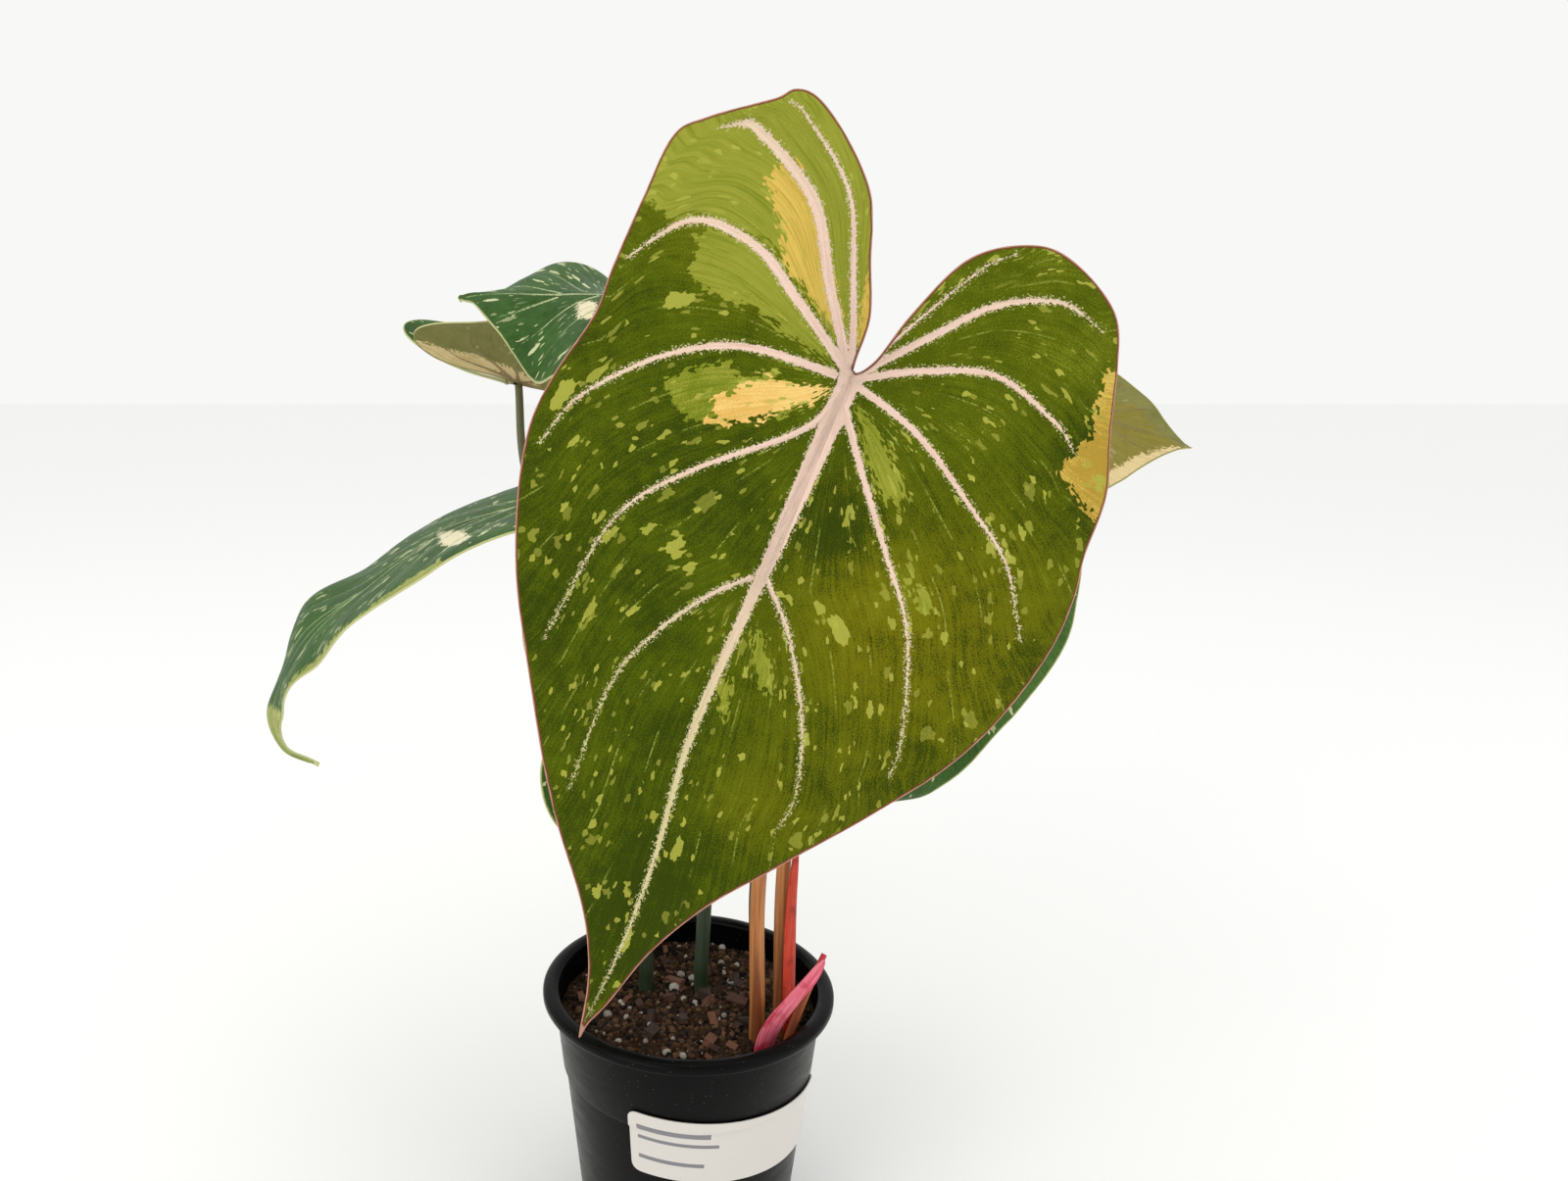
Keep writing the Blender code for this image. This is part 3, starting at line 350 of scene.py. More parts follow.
SHEATHS = {
    "red_sheath": {
        "shape": "lance",
        "half_width": 2.9,
        "stations": (
            ((34.6, -20.4, 83), (0.83, 0.56, 0.0)), ((34.6, -20.4, 100), (0.83, 0.56, 0.0)),
            ((34.7, -18.8, 114), (0.83, 0.56, 0.0)), ((35.3, -13.9, 137), (0.80, 0.60, 0.0)),
            ((36.6, -8.9, 151), (0.78, 0.62, 0.0)), ((38.3, -2.0, 163), (0.78, 0.62, 0.0)),
        ),
        "fold": (0.0, 0.0),
        "curl": 14.0,
        "waves": (1.0, 0.0, 0.0),
    },
    "pink_sheath": {
        "shape": "open",
        "half_width": 4.3,
        "stations": (
            ((25.5, -30.2, 83), (0.90, 0.30, 0.0)), ((25.8, -30.2, 93), (0.90, 0.30, 0.0)),
            ((28.8, -29.6, 101), (0.90, 0.20, -0.3)), ((35.0, -27.8, 109), (0.80, 0.10, -0.6)),
            ((41.5, -24.6, 115), (0.70, 0.0, -0.7)), ((46.5, -20.5, 120), (0.70, 0.0, -0.7)),
        ),
        "fold": (0.0, 0.0),
        "curl": 12.0,
        "waves": (1.0, 0.0, 0.0),
    },
}
YOUNG_SHOOT = ((34.5, -25.5, 83), (34.5, -25.5, 92), (39.5, -22, 104), (48, -15, 119))
YOUNG_SHOOT_RADII = (2.0, 1.1)

# The camera, in metres, degrees and millimetres; its shift follows the photograph's off-centre crop
CAMERA_PLACE = (-0.0226, -0.400, 0.334)
CAMERA_PITCH = 12.0
CAMERA_LENS = 27.0
CAMERA_SHIFT = 0.1
FLOOR_HALF = 6.0
# Square softboxes: place, width and colour, all turned to the plant's middle
PLANT_MIDDLE = (-0.02, 0.0, 0.22)
SOFTBOXES = {
    "key": ((-1.0, -1.1, 1.15), 0.9, (1.0, 0.985, 0.96)),
    "fill": ((1.4, -0.8, 0.7), 1.2, (1.0, 0.99, 0.98)),
    "top": ((0.1, 0.2, 1.7), 1.4, (1.0, 1.0, 1.0)),
}


def smooth_curve(points, steps, closed=False):
    """Points of a Catmull-Rom curve through these, in any number of dimensions."""
    p = np.array(points, float)
    p = np.vstack([p[-1:], p, p[:2]]) if closed else np.vstack([2 * p[0] - p[1], p, 2 * p[-1] - p[-2]])
    u = np.linspace(0, 1, steps, endpoint=False)[:, None]
    runs = [
        b + 0.5 * u * (c - a + u * (2 * a - 5 * b + 4 * c - d + u * (3 * (b - c) + d - a)))
        for a, b, c, d in zip(p[:-3], p[1:-2], p[2:-1], p[3:])
    ]
    return np.vstack(runs) if closed else np.vstack([*runs, p[-2][None]])


def run_lengths(points):
    """How far along a line each of its points is."""
    return np.concatenate([[0.0], np.cumsum(np.linalg.norm(np.diff(points, axis=0), axis=1))])


def resample(points, spacing, closed=False):
    """Points along this line at about this spacing, ends kept."""
    p = np.vstack([points, points[:1]]) if closed else np.asarray(points, float)
    run = run_lengths(p)
    at = np.linspace(0, run[-1], max(2, round(run[-1] / spacing)) + 1)
    made = np.column_stack([np.interp(at, run, p[:, k]) for k in range(p.shape[1])])
    return made[:-1] if closed else made


def line_distance(points, line, closed=False, widths=(0.0,)):
    """Distance from flat points to a line, or to the edge of its band of half widths, negative inside."""
    line = np.asarray(line, float)
    if closed:
        line = np.vstack([line, line[:1]])
    half = np.interp(np.linspace(0, 1, len(line)), np.linspace(0, 1, len(widths)), widths)
    best = np.full(len(points), 1e9)
    for start, end, near, far in zip(line[:-1], line[1:], half[:-1], half[1:]):
        along = end - start
        share = np.clip((points - start) @ along / max((along**2).sum(), 1e-9), 0, 1)
        gap = np.linalg.norm(points - start - share[:, None] * along, axis=1)
        best = np.minimum(best, gap - near - (far - near) * share)
    return best


def inside(points, outline):
    """Whether each flat point lies inside a closed flat outline."""
    odd = np.zeros(len(points), bool)
    for (x0, y0), (x1, y1) in zip(outline, np.roll(outline, -1, axis=0)):
        if y0 != y1:
            crosses = (points[:, 1] < y0) != (points[:, 1] < y1)
            odd ^= crosses & (points[:, 0] < x0 + (points[:, 1] - y0) / (y1 - y0) * (x1 - x0))
    return odd


def unit(vectors):
    return vectors / np.linalg.norm(vectors, axis=1)[:, None]


def run_edges(start, count, closed=False):
    """Edges from each of a run of points to the next."""
    edges = [(start + i, start + i + 1) for i in range(count - 1)]
    return edges + [(start + count - 1, start)] if closed else edges


def split_flat(points, edges):
    """The triangles inside a closed run of edges, and the flat points that they use."""
    made, _, faces, *_ = delaunay_2d_cdt([Vector(p) for p in points], edges, [], 1, 1e-4)
    used = sorted({v for face in faces for v in face})
    place = {v: i for i, v in enumerate(used)}
    return np.array([tuple(made[v]) for v in used]), np.array([[place[v] for v in face] for face in faces])


def hex_points(outline, step):
    """A staggered grid over the outline's box."""
    low, high = outline.min(0), outline.max(0)
    rows = []
    for row, t in enumerate(np.arange(low[1], high[1], step * math.sqrt(3) / 2)):
        s = np.arange(low[0] + (row % 2) * step / 2, high[0], step)
        rows.append(np.column_stack([s, np.full(len(s), t)]))
    return np.vstack(rows)


def new_mesh(name, points, faces, sharp_degrees, *materials):
    """A smooth mesh of points in millimetres, creased where its faces meet at more than this angle."""
    mesh = bpy.data.meshes.new(name)
    mesh.from_pydata((np.asarray(points) * MM).tolist(), [], faces)
    for material in materials:
        mesh.materials.append(material)
    mesh.shade_smooth()
    mesh.set_sharp_from_angle(angle=math.radians(sharp_degrees))
    return mesh


def store(mesh, name, values):
    """Keeps a value or a vector for each point of a mesh."""
    kind, field = ("FLOAT", "value") if values.ndim == 1 else ("FLOAT_VECTOR", "vector")
    made = mesh.attributes.new(name, kind, "POINT")
    made.data.foreach_set(field, np.ascontiguousarray(values, np.float32).ravel())


def add_piece(mesh, slot, *replaced):
    """Puts a finished mesh in the scene as a piece of the plant that stands for these CAD nodes."""
    made = bpy.data.objects.new(mesh.name, mesh)
    bpy.context.scene.collection.objects.link(made)
    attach(made, "root")
    if replaced:
        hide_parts(*replaced)


def closed_sheet(upper, lower, faces):
    """Points and faces of a sheet's two sides, split alike, and of the wall round its edge."""
    count = len(upper)
    corners = upper[faces]
    turned = np.cross(corners[:, 1] - corners[:, 0], corners[:, 2] - corners[:, 0])
    away = np.einsum("ij,ij->i", turned, (upper - lower)[faces[:, 0]]) < 0
    faces = np.where(away[:, None], faces[:, ::-1], faces)
    directed = np.vstack([faces[:, (0, 1)], faces[:, (1, 2)], faces[:, (2, 0)]])
    keys = directed[:, 0] * count + directed[:, 1]
    rim = directed[~np.isin(keys, directed[:, 1] * count + directed[:, 0])]
    wall = np.vstack([
        np.column_stack([rim[:, 0], rim[:, 0] + count, rim[:, 1] + count]),
        np.column_stack([rim[:, 0], rim[:, 1] + count, rim[:, 1]]),
    ])
    return np.vstack([upper, lower]), np.vstack([faces, faces[:, ::-1] + count, wall]).tolist()


def flat_shape(leaf, length):
    """The flat outline, midrib, veins and band widths of a blade."""
    shape = leaf.get("shape", "heart")
    if shape == "front":
        return FRONT_OUTLINE, FRONT_MIDRIB, FRONT_VEINS, (FRONT_MIDRIB_WIDTH, *FRONT_VEIN_WIDTHS)
    half, midrib, veins = {
        "heart": (HEART, HEART_MIDRIB, HEART_VEINS),
        "lance": (LANCE, LANCE_MIDRIB, ()),
        "open": (OPEN_SHEATH, LANCE_MIDRIB, ()),
    }[shape]

    def scaled(points, side):
        return [(s * length, side * t * leaf["half_width"]) for s, t in points]

    outline = scaled(half, 1) + scaled(half, -1)[-2:0:-1]
    both = [scaled(vein, 1) for vein in veins] + [scaled(vein, -1) for vein in veins[::-1]]
    return outline, scaled(midrib, 1), both, (HEART_MIDRIB_WIDTH, *[HEART_VEIN_WIDTH] * len(both))


class Blade:
    """One leaf blade: its flat outline and veins, and the surface that they are carried onto."""

    def __init__(self, leaf):
        self.leaf = leaf
        places, directions = zip(*leaf["stations"])
        self.path = smooth_curve(places, 24)
        self.arc = run_lengths(self.path)
        self.length = self.arc[-1]
        self.along = unit(np.gradient(self.path, axis=0))
        across = smooth_curve(directions, 24)
        self.across = unit(across - (across * self.along).sum(1)[:, None] * self.along)
        outline, midrib, veins, self.widths = flat_shape(leaf, self.length)
        self.outline = smooth_curve(outline, 8, closed=True)
        self.veins = [smooth_curve(vein, 8) for vein in (midrib, *veins)]

    def vein_distance(self, flat):
        return np.min([line_distance(flat, line) for line in self.veins], axis=0)

    def surface(self, flat):
        """The mid-surface point and upward normal for each flat point."""
        s, t = flat.T
        place, along, across = (
            np.column_stack([np.interp(s, self.arc, line[:, k]) for k in range(3)])
            for line in (self.path, self.along, self.across)
        )
        place += np.minimum(s, 0)[:, None] * self.along[0]
        place += np.maximum(s - self.length, 0)[:, None] * self.along[-1]
        up = unit(np.cross(unit(along), across))
        side = np.where(t < 0, -1.0, 1.0)
        fold = np.radians(np.where(t < 0, *self.leaf["fold"]))
        curl = math.radians(self.leaf["curl"])
        lean = fold + curl * np.abs(t)
        out = (np.sin(lean) - np.sin(fold)) / curl
        rise = (np.cos(fold) - np.cos(lean)) / curl + self.relief(flat)
        place = place + (side * out)[:, None] * across + rise[:, None] * up
        crease = math.radians((self.leaf["fold"][1] - self.leaf["fold"][0]) / 2)
        slope = np.where(np.abs(t) < 0.01, crease, side * lean)
        return place, np.cos(slope)[:, None] * up - np.sin(slope)[:, None] * across

    def relief(self, flat):
        """Height over the smooth surface: waves, the sunk veins' quilting and the rolled margin."""
        count, height, phase = self.leaf["waves"]
        edge = line_distance(flat, self.outline, closed=True)
        reach = np.exp(-edge / (WAVE_REACH * self.length))
        turn = math.tau * count * flat[:, 0] / self.length + phase + np.where(flat[:, 1] < 0, HALF_SHIFT, 0.0)
        quilt = QUILT_HEIGHT * (1 - np.exp(-((self.vein_distance(flat) / QUILT_REACH) ** 2)))
        drop = MARGIN_DROP * np.clip(1 - edge / MARGIN_REACH, 0, 1) ** 2
        return height * reach * np.sin(turn) + quilt - drop

    def flow(self, flat):
        """A number that runs from one vein to the next, so that its level lines follow the nerves."""
        order = len(self.veins) // 2
        turn = np.arctan2(flat[:, 1], flat[:, 0])
        radius = np.linalg.norm(flat, axis=1)
        turns = [np.full(len(flat), math.pi)]
        for vein in (*self.veins[1 : order + 1], self.veins[0], *self.veins[order + 1 :]):
            reach = np.maximum.accumulate(np.linalg.norm(vein, axis=1))
            turns.append(np.interp(radius, reach, np.arctan2(vein[:, 1], vein[:, 0])))
        turns.append(np.full(len(flat), -math.pi))
        gaps = zip(turns[:-1], turns[1:])
        return sum(
            np.clip((last - turn) / np.maximum(last - following, 1e-3), 0, 1)
            for last, following in gaps
        )

    def triangles(self, step):
        """Flat points and triangles, with the outline and veins among the edges."""
        rim = resample(self.outline, step, closed=True)
        flat = [*rim]
        edges = run_edges(0, len(rim), closed=True)
        for vein in self.veins:
            line = resample(vein, step)
            line = line[line_distance(line, self.outline, closed=True) > 0.35 * step]
            edges += run_edges(len(flat), len(line))
            flat += [*line]
        grid = hex_points(self.outline, step)
        grid = grid[inside(grid, self.outline)]
        clear = line_distance(grid, self.outline, closed=True) > 0.45 * step
        return split_flat([*flat, *grid[clear & (self.vein_distance(grid) > 0.4 * step)]], edges)

    def fields(self, flat):
        """What the leaf materials read: bands, edges, nerves, patches, and placed shifts of colour that are
        partly painted light and shade, at each flat point.
        """
        bands = [line_distance(flat, line, widths=width) for line, width in zip(self.veins, self.widths)]
        edge = line_distance(flat, self.outline, closed=True)
        flow = self.flow(flat)
        step = 0.5
        slope = np.hypot(*(self.flow(flat + move) - flow for move in ((step, 0), (0, step)))) / step
        marks = []
        for kind in ("lime", "gold", "cream"):
            depths = [np.full(len(flat), NO_PATCH)]
            for outline in self.leaf.get("patches", {}).get(kind, ()):
                rim = line_distance(flat, outline, closed=True)
                depths.append(np.where(inside(flat, outline), rim, -rim))
            marks.append(np.max(depths[1:] or depths, axis=0))
        tone = np.zeros((len(flat), 3))
        for s, t, reach, warmer, lighter in self.leaf.get("tones_and_painted_light", ()):
            near = np.exp(-((flat[:, 0] - s) ** 2 + (flat[:, 1] - t) ** 2) / (2 * (0.8 * reach) ** 2))
            tone += near[:, None] * (warmer, lighter, 0)
        nothing = np.zeros(len(flat))
        return {
            "flat": np.column_stack([flat, nothing]),
            "flow": np.column_stack([flow, np.linalg.norm(flat, axis=1), 1 / np.maximum(slope, 0.01)]),
            "fields": np.column_stack([np.min(bands, axis=0), edge, nothing]),
            "marks": np.column_stack(marks),
            "tone": tone,
        }

    def mesh(self, name, step, upper_material, lower_material):
        """The closed blade: both faces split alike, ribs underneath and a shallow groove on each vein."""
        flat, faces = self.triangles(step)
        place, normal = self.surface(flat)
        fields = self.fields(flat)
        band, edge = fields["fields"][:, 0], fields["fields"][:, 1]
        half = 0.5 * np.where(edge < 0.1, MARGIN_THICKNESS, BLADE_THICKNESS)
        rib = np.exp(-((self.vein_distance(flat) / RIB_WIDTH) ** 2)) * np.clip(edge / RIB_FADE, 0, 1)
        groove = np.exp(-np.maximum(band + 0.4, 0)) * np.clip(edge / GROOVE_FADE, 0, 1)
        nerve = np.cos(math.tau * NERVES_BETWEEN * fields["flow"][:, 0]) * np.clip(edge / NERVE_FADE, 0, 1)
        upper = place + (half - GROOVE_DEPTH * groove - NERVE_HEIGHT * nerve)[:, None] * normal
        lower = place - (half + RIB_DEPTH * rib)[:, None] * normal
        points, made = closed_sheet(upper, lower, faces)
        mesh = new_mesh(name, points, made, 60, upper_material, lower_material)
        index = np.zeros(len(made), np.int32)
        index[len(faces) : 2 * len(faces)] = 1
        mesh.polygons.foreach_set("material_index", index)
        for field, values in fields.items():
            store(mesh, field, np.vstack([values, values]))
        return mesh


def ring_faces(rings, sides):
    """Faces between rings of points, closed at both ends by the two poles that follow them."""
    faces = []
    last = (rings - 1) * sides
    for k in range(sides):
        following = (k + 1) % sides
        faces += [(a + k, a + following, a + following + sides, a + k + sides) for a in range(0, last, sides)]
        faces += [(following, k, last + sides), (last + k, last + following, last + sides + 1)]
    return faces


def stem_mesh(name, route, radii, material):
    """A tapering stem round a smooth line, closed at both ends, with its length and girth kept."""
    points = resample(smooth_curve(route, 12), PETIOLE_STEP)
    along = unit(np.gradient(points, axis=0))
    share = np.linspace(0, 1, len(points))
    radius = radii[0] + (radii[1] - radii[0]) * share
    side = np.cross(along[0], (0.0, 1.0, 0.0))
    turns = np.linspace(0, math.tau, PETIOLE_SIDES, endpoint=False)
    circle = np.column_stack([np.cos(turns), np.sin(turns)])
    girth = (1 - 0.05 * np.cos(2 * turns))[:, None]
    run = run_lengths(points)
    rings, values = [], []
    for place, direction, size, at in zip(points, along, radius, run):
        side = side - (side @ direction) * direction
        side = side / np.linalg.norm(side)
        rings.append(place + size * girth * circle @ np.array([side, np.cross(direction, side)]))
        values.append(np.column_stack([size * circle, np.full(PETIOLE_SIDES, at)]))
    faces = ring_faces(len(rings), PETIOLE_SIDES)
    mesh = new_mesh(name, np.vstack([*rings, points[:1], points[-1:]]), faces, 180, material)
    store(mesh, "stem", np.vstack([*values, [[0, 0, 0]], [[0, 0, run[-1]]]]))
    store(mesh, "rise", np.append(np.repeat(share, PETIOLE_SIDES), (0.0, 1.0)))
    return mesh


def petiole_route(leaf):
    """From the bottom of its hole in the soil to a seat just under the blade, where the lobes part."""
    (x, y), middle = leaf["petiole"]
    (place,), (normal,) = Blade(leaf).surface(np.array([ATTACHMENT]))
    rise = unit(np.array([place - np.array(middle[-1])]))[0]
    tilt = np.linalg.norm(rise - (rise @ normal) * normal)
    drop = BLADE_THICKNESS / 2 + tilt * PETIOLE_TOP_RADIUS - 0.2
    low = [(x, y, z) for z in (SOIL_TOP - HOLE_DEPTH + GAP, SOIL_TOP + 4, SOIL_TOP + 14)]
    return [*low, *middle, tuple(place - drop * normal)]


def pot_radius(z):
    """The outer radius of the pot's body at this height, under the lip."""
    heights = (0.0, COLLAR_Z - COLLAR_STEP, COLLAR_Z, LIP_LOW)
    radii = (POT_BASE_RADIUS, COLLAR_RADIUS - COLLAR_STEP, COLLAR_RADIUS, POT_TOP_RADIUS)
    return np.interp(z, heights, radii)


def turned_mesh(name, profile, segments, material):
    """A profile of (radius, height) turned about the middle; its ends lie on the axis."""
    turns = np.linspace(math.tau, 0, segments, endpoint=False)
    rings = [
        np.column_stack([radius * np.cos(turns), radius * np.sin(turns), np.full(segments, z)])
        for radius, z in profile[1:-1]
    ]
    poles = [(0.0, 0.0, z) for _, z in (profile[0], profile[-1])]
    return new_mesh(name, np.vstack([*rings, poles]), ring_faces(len(rings), segments), 50, material)


def pot_profile(wall):
    """The moulded cup's section, from the middle of its floor up, over the rolled lip and down."""
    inner_top = POT_TOP_RADIUS - wall
    waist_z = COLLAR_Z - COLLAR_STEP
    floor, waist, collar = (pot_radius(z) for z in (POT_FLOOR, waist_z, COLLAR_Z))
    profile = [(0.0, POT_FLOOR), (floor - wall - 0.8, POT_FLOOR), (floor - wall, POT_FLOOR + 0.8)]
    profile += [(pot_radius(z) - wall, z) for z in (waist_z, COLLAR_Z, LIP_LOW)]
    middle, half = (inner_top + LIP_RADIUS) / 2, (LIP_RADIUS - inner_top) / 2
    for step in range(LIP_STEPS + 1):
        turn = math.pi * (1 - step / LIP_STEPS)
        rise = math.sin(turn) if 0 < step < LIP_STEPS else 0.0
        profile.append((middle + half * math.cos(turn), POT_HEIGHT - LIP_CROWN * (1 - rise)))
    return profile + [
        (LIP_RADIUS, LIP_LOW + 0.9), (LIP_RADIUS - 0.3, LIP_LOW + 0.3), (LIP_RADIUS - 0.9, LIP_LOW),
        (POT_TOP_RADIUS + 0.6, LIP_LOW), (POT_TOP_RADIUS + 0.1, LIP_LOW - 0.3),
        (POT_TOP_RADIUS - 0.05, LIP_LOW - 1.0), (collar + 0.05, COLLAR_Z + 0.3),
        (collar - 0.2, COLLAR_Z - 0.2), (waist + 0.1, waist_z + 0.1), (waist, waist_z - 0.4),
        (pot_radius(1.0), 1.0), (pot_radius(0.3) - 0.2, 0.3), (POT_BASE_RADIUS - 1.0, 0.0), (0.0, 0.0),
    ]


def label_mesh(name, material):
    """A rounded sticker that follows the pot's cone and its collar's step."""
    middle_radius = pot_radius((LABEL_LOW + LABEL_HIGH) / 2)
    reach = math.radians(LABEL_RIGHT_DEG - LABEL_LEFT_DEG) * middle_radius
    height = LABEL_HIGH - LABEL_LOW
    outline = []
    for x, y, start in ((reach, height, 0), (0, height, 90), (0, 0, 180), (reach, 0, 270)):
        corner_x = x + LABEL_CORNER * (1 if x == 0 else -1)
        corner_y = y + LABEL_CORNER * (1 if y == 0 else -1)
        for turn in np.radians(range(start, start + 91, 15)):
            outline.append((corner_x + LABEL_CORNER * math.cos(turn), corner_y + LABEL_CORNER * math.sin(turn)))
    rim = resample(np.array(outline), LABEL_STEP, closed=True)
    grid = hex_points(rim, LABEL_STEP)
    grid = grid[inside(grid, rim) & (line_distance(grid, rim, closed=True) > LABEL_STEP / 2)]
    flat, faces = split_flat([*rim, *grid], run_edges(0, len(rim), closed=True))
    turn = math.radians(LABEL_LEFT_DEG) + flat[:, 0] / middle_radius
    z = LABEL_LOW + flat[:, 1] - LABEL_SLOPE * flat[:, 0]
    sides = []
    for lift in (GAP + LABEL_THICKNESS, GAP):
        radius = pot_radius(z) + lift
        sides.append(np.column_stack([radius * np.sin(turn), -radius * np.cos(turn), z]))
    mesh = new_mesh(name, *closed_sheet(*sides, faces), 50, material)
    sheet = np.column_stack([flat, np.zeros(len(flat))])
    store(mesh, "sheet", np.vstack([sheet, sheet - (0, 500, 0)]))
    return mesh


def soil_height(x, y):
    """The height of the soil's rough top at a place in the pot."""
    coarse = noise.noise(Vector((x, y, 0.0)) / COARSE_GRAIN)
    fine = noise.noise(Vector((x, y, POT_HEIGHT)) / FINE_GRAIN)
    return SOIL_TOP + SOIL_ROUGHNESS * (coarse + FINE_SHARE * fine)


def stem_feet():
    """Where each stem stands in the soil: x, y, and the radius and depth of its hole."""
    feet = [(*leaf["petiole"][0], PETIOLE_FOOT_RADIUS + HOLE_CLEARANCE, HOLE_DEPTH) for leaf in LEAVES.values()]
    shallow = [(sheath["stations"][0][0], sheath["half_width"]) for sheath in SHEATHS.values()]
    for (x, y, _), radius in (*shallow, (YOUNG_SHOOT[0], YOUNG_SHOOT_RADII[0])):
        feet.append((x, y, radius + HOLE_CLEARANCE, SHEATH_HOLE_DEPTH))
    return feet


def soil_mesh(name, step, material):
    """The soil: a crumbly top with a hole for each stem, and a plain block down to the pot's floor."""
    wall = POT_WALL + GAP
    top_radius = float(pot_radius(SOIL_TOP)) - wall
    turns = np.linspace(0, math.tau, SOIL_SEGMENTS, endpoint=False)
    circle = np.column_stack([np.cos(turns), np.sin(turns)])
    rim = top_radius * circle
    grid = hex_points(rim, step)
    grid = grid[np.linalg.norm(grid, axis=1) < top_radius - step / 2]
    rings = []
    for x, y, radius, _ in stem_feet():
        for size in (radius, radius - 0.3):
            grid = grid[np.abs(np.linalg.norm(grid - (x, y), axis=1) - size) > 0.3]
            rings.append((x, y) + size * circle[::8])
    flat, faces = split_flat(np.vstack([rim, *rings, grid]), run_edges(0, SOIL_SEGMENTS, closed=True))
    heights = np.array([soil_height(x, y) for x, y in flat])
    crumbs = [
        sum(share * noise.noise(Vector((x, y, level)) / width) for width, level, share in CRUMB_NOISES)
        for x, y in flat
    ]
    heights += CRUMB_HEIGHT * np.array(crumbs) * np.clip((top_radius - np.linalg.norm(flat, axis=1)) / 2, 0, 1)
    for x, y, radius, depth in stem_feet():
        heights[np.linalg.norm(flat - (x, y), axis=1) < radius - 0.15] = SOIL_TOP - depth
    first, second = (flat[faces[:, k]] - flat[faces[:, 0]] for k in (1, 2))
    down = first[:, 0] * second[:, 1] - first[:, 1] * second[:, 0] < 0
    faces[down] = faces[down][:, ::-1]
    made = faces.tolist()
    layers = [np.column_stack([flat, heights])]
    previous = [int(np.argmin(((flat - p) ** 2).sum(1))) for p in rim]
    count = len(flat)
    for z in (COLLAR_Z, COLLAR_Z - COLLAR_STEP, POT_FLOOR + GAP):
        layers.append(np.column_stack([(float(pot_radius(z)) - wall) * circle, np.full(SOIL_SEGMENTS, z)]))
        current = range(count, count + SOIL_SEGMENTS)
        made += [(previous[k], previous[k - 1], current[k - 1], current[k]) for k in range(SOIL_SEGMENTS)]
        previous = current
        count += SOIL_SEGMENTS
    layers.append([(0.0, 0.0, POT_FLOOR + GAP)])
    made += [(previous[k], previous[k - 1], count) for k in range(SOIL_SEGMENTS)]
    mesh = new_mesh(name, np.vstack(layers), made, 60, material)
    store(mesh, "tint", np.full(count + 1, 0.35))
    return mesh


def strewn_points(count, widths, stretch, seed, placed=(), lift=0.1):
    """Seeded places for lumps on the soil, clear of the stems and the pot's wall."""
    draw = np.random.default_rng(seed)
    limit = float(pot_radius(SOIL_TOP)) - POT_WALL - GAP
    feet = stem_feet()
    places, sizes, turns = [], [], []
    for x, y, width in placed:
        places.append((x, y, soil_height(x, y) + lift * width))
        sizes.append(np.array(stretch) * width)
        turns.append((0.3, 0.2, math.tau * draw.random()))
    while len(places) < count:
        width = widths[0] + (widths[1] - widths[0]) * draw.random() ** 2.2
        radius, turn = limit * math.sqrt(draw.random()), math.tau * draw.random()
        x, y = radius * math.cos(turn), radius * math.sin(turn)
        half = 0.6 * width * max(stretch)
        if radius + half > limit or any(math.hypot(x - a, y - b) < r + half - 0.2 for a, b, r, _ in feet):
            continue
        places.append((x, y, soil_height(x, y) + lift * width))
        sizes.append(np.array(stretch) * width * draw.uniform(0.75, 1.25, 3))
        turns.append((draw.uniform(-0.6, 0.6), draw.uniform(-0.6, 0.6), math.tau * draw.random()))
    mesh = bpy.data.meshes.new("places")
    mesh.from_pydata((np.array(places) * MM).tolist(), [], [])
    store(mesh, "size", np.array(sizes) * MM)
    store(mesh, "turn", np.array(turns))
    store(mesh, "tint", draw.random(len(places)))
    return mesh


def lump_tree(name, boxy):
    """Geometry Nodes that set a craggy lump on each point, by the point's size, turn and tint."""
    tree = bpy.data.node_groups.new(name, "GeometryNodeTree")
    for title, way, kind in (
        ("Geometry", "INPUT", "Geometry"), ("Crag", "INPUT", "Float"), ("Crag scale", "INPUT", "Float"),
        ("Finish", "INPUT", "Material"), ("Geometry", "OUTPUT", "Geometry"),
    ):
        tree.interface.new_socket(title, in_out=way, socket_type=f"NodeSocket{kind}")
    add = partial(add_node, tree)
    given = add("NodeGroupInput").outputs
    if boxy:
        lump = add("GeometryNodeMeshCube", {"Size": (1.0, 1.0, 1.0), 1: 4, 2: 3, 3: 2})
    else:
        lump = add("GeometryNodeMeshIcoSphere", {"Radius": 0.5, "Subdivisions": 2})
    size, turn = (
        add("GeometryNodeInputNamedAttribute", {"Name": kept}, data_type="FLOAT_VECTOR")
        for kept in ("size", "turn")
    )
    turned = add("FunctionNodeEulerToRotation", (turn,))
    set_out = add("GeometryNodeInstanceOnPoints", {
        "Points": given["Geometry"], "Instance": lump, "Rotation": turned, "Scale": size,
    })
    real = add("GeometryNodeRealizeInstances", (set_out,))
    place = add("GeometryNodeInputPosition")
    crag = add("TexNoise", {"Vector": place, "Scale": given["Crag scale"], "Detail": 2.0})
    middle = add("VectorMath", (crag.outputs["Color"], (0.5, 0.5, 0.5)), operation="SUBTRACT")
    push = add("VectorMath", {0: middle, "Scale": given["Crag"]}, operation="SCALE")
    rough = add("GeometryNodeSetPosition", {"Geometry": real, "Offset": push})
    smooth = add("GeometryNodeSetShadeSmooth", {0: rough, "Shade Smooth": not boxy})
    finish = add("GeometryNodeSetMaterial", {"Geometry": smooth, "Material": given["Finish"]})
    add("NodeGroupOutput", (finish,))
    return tree


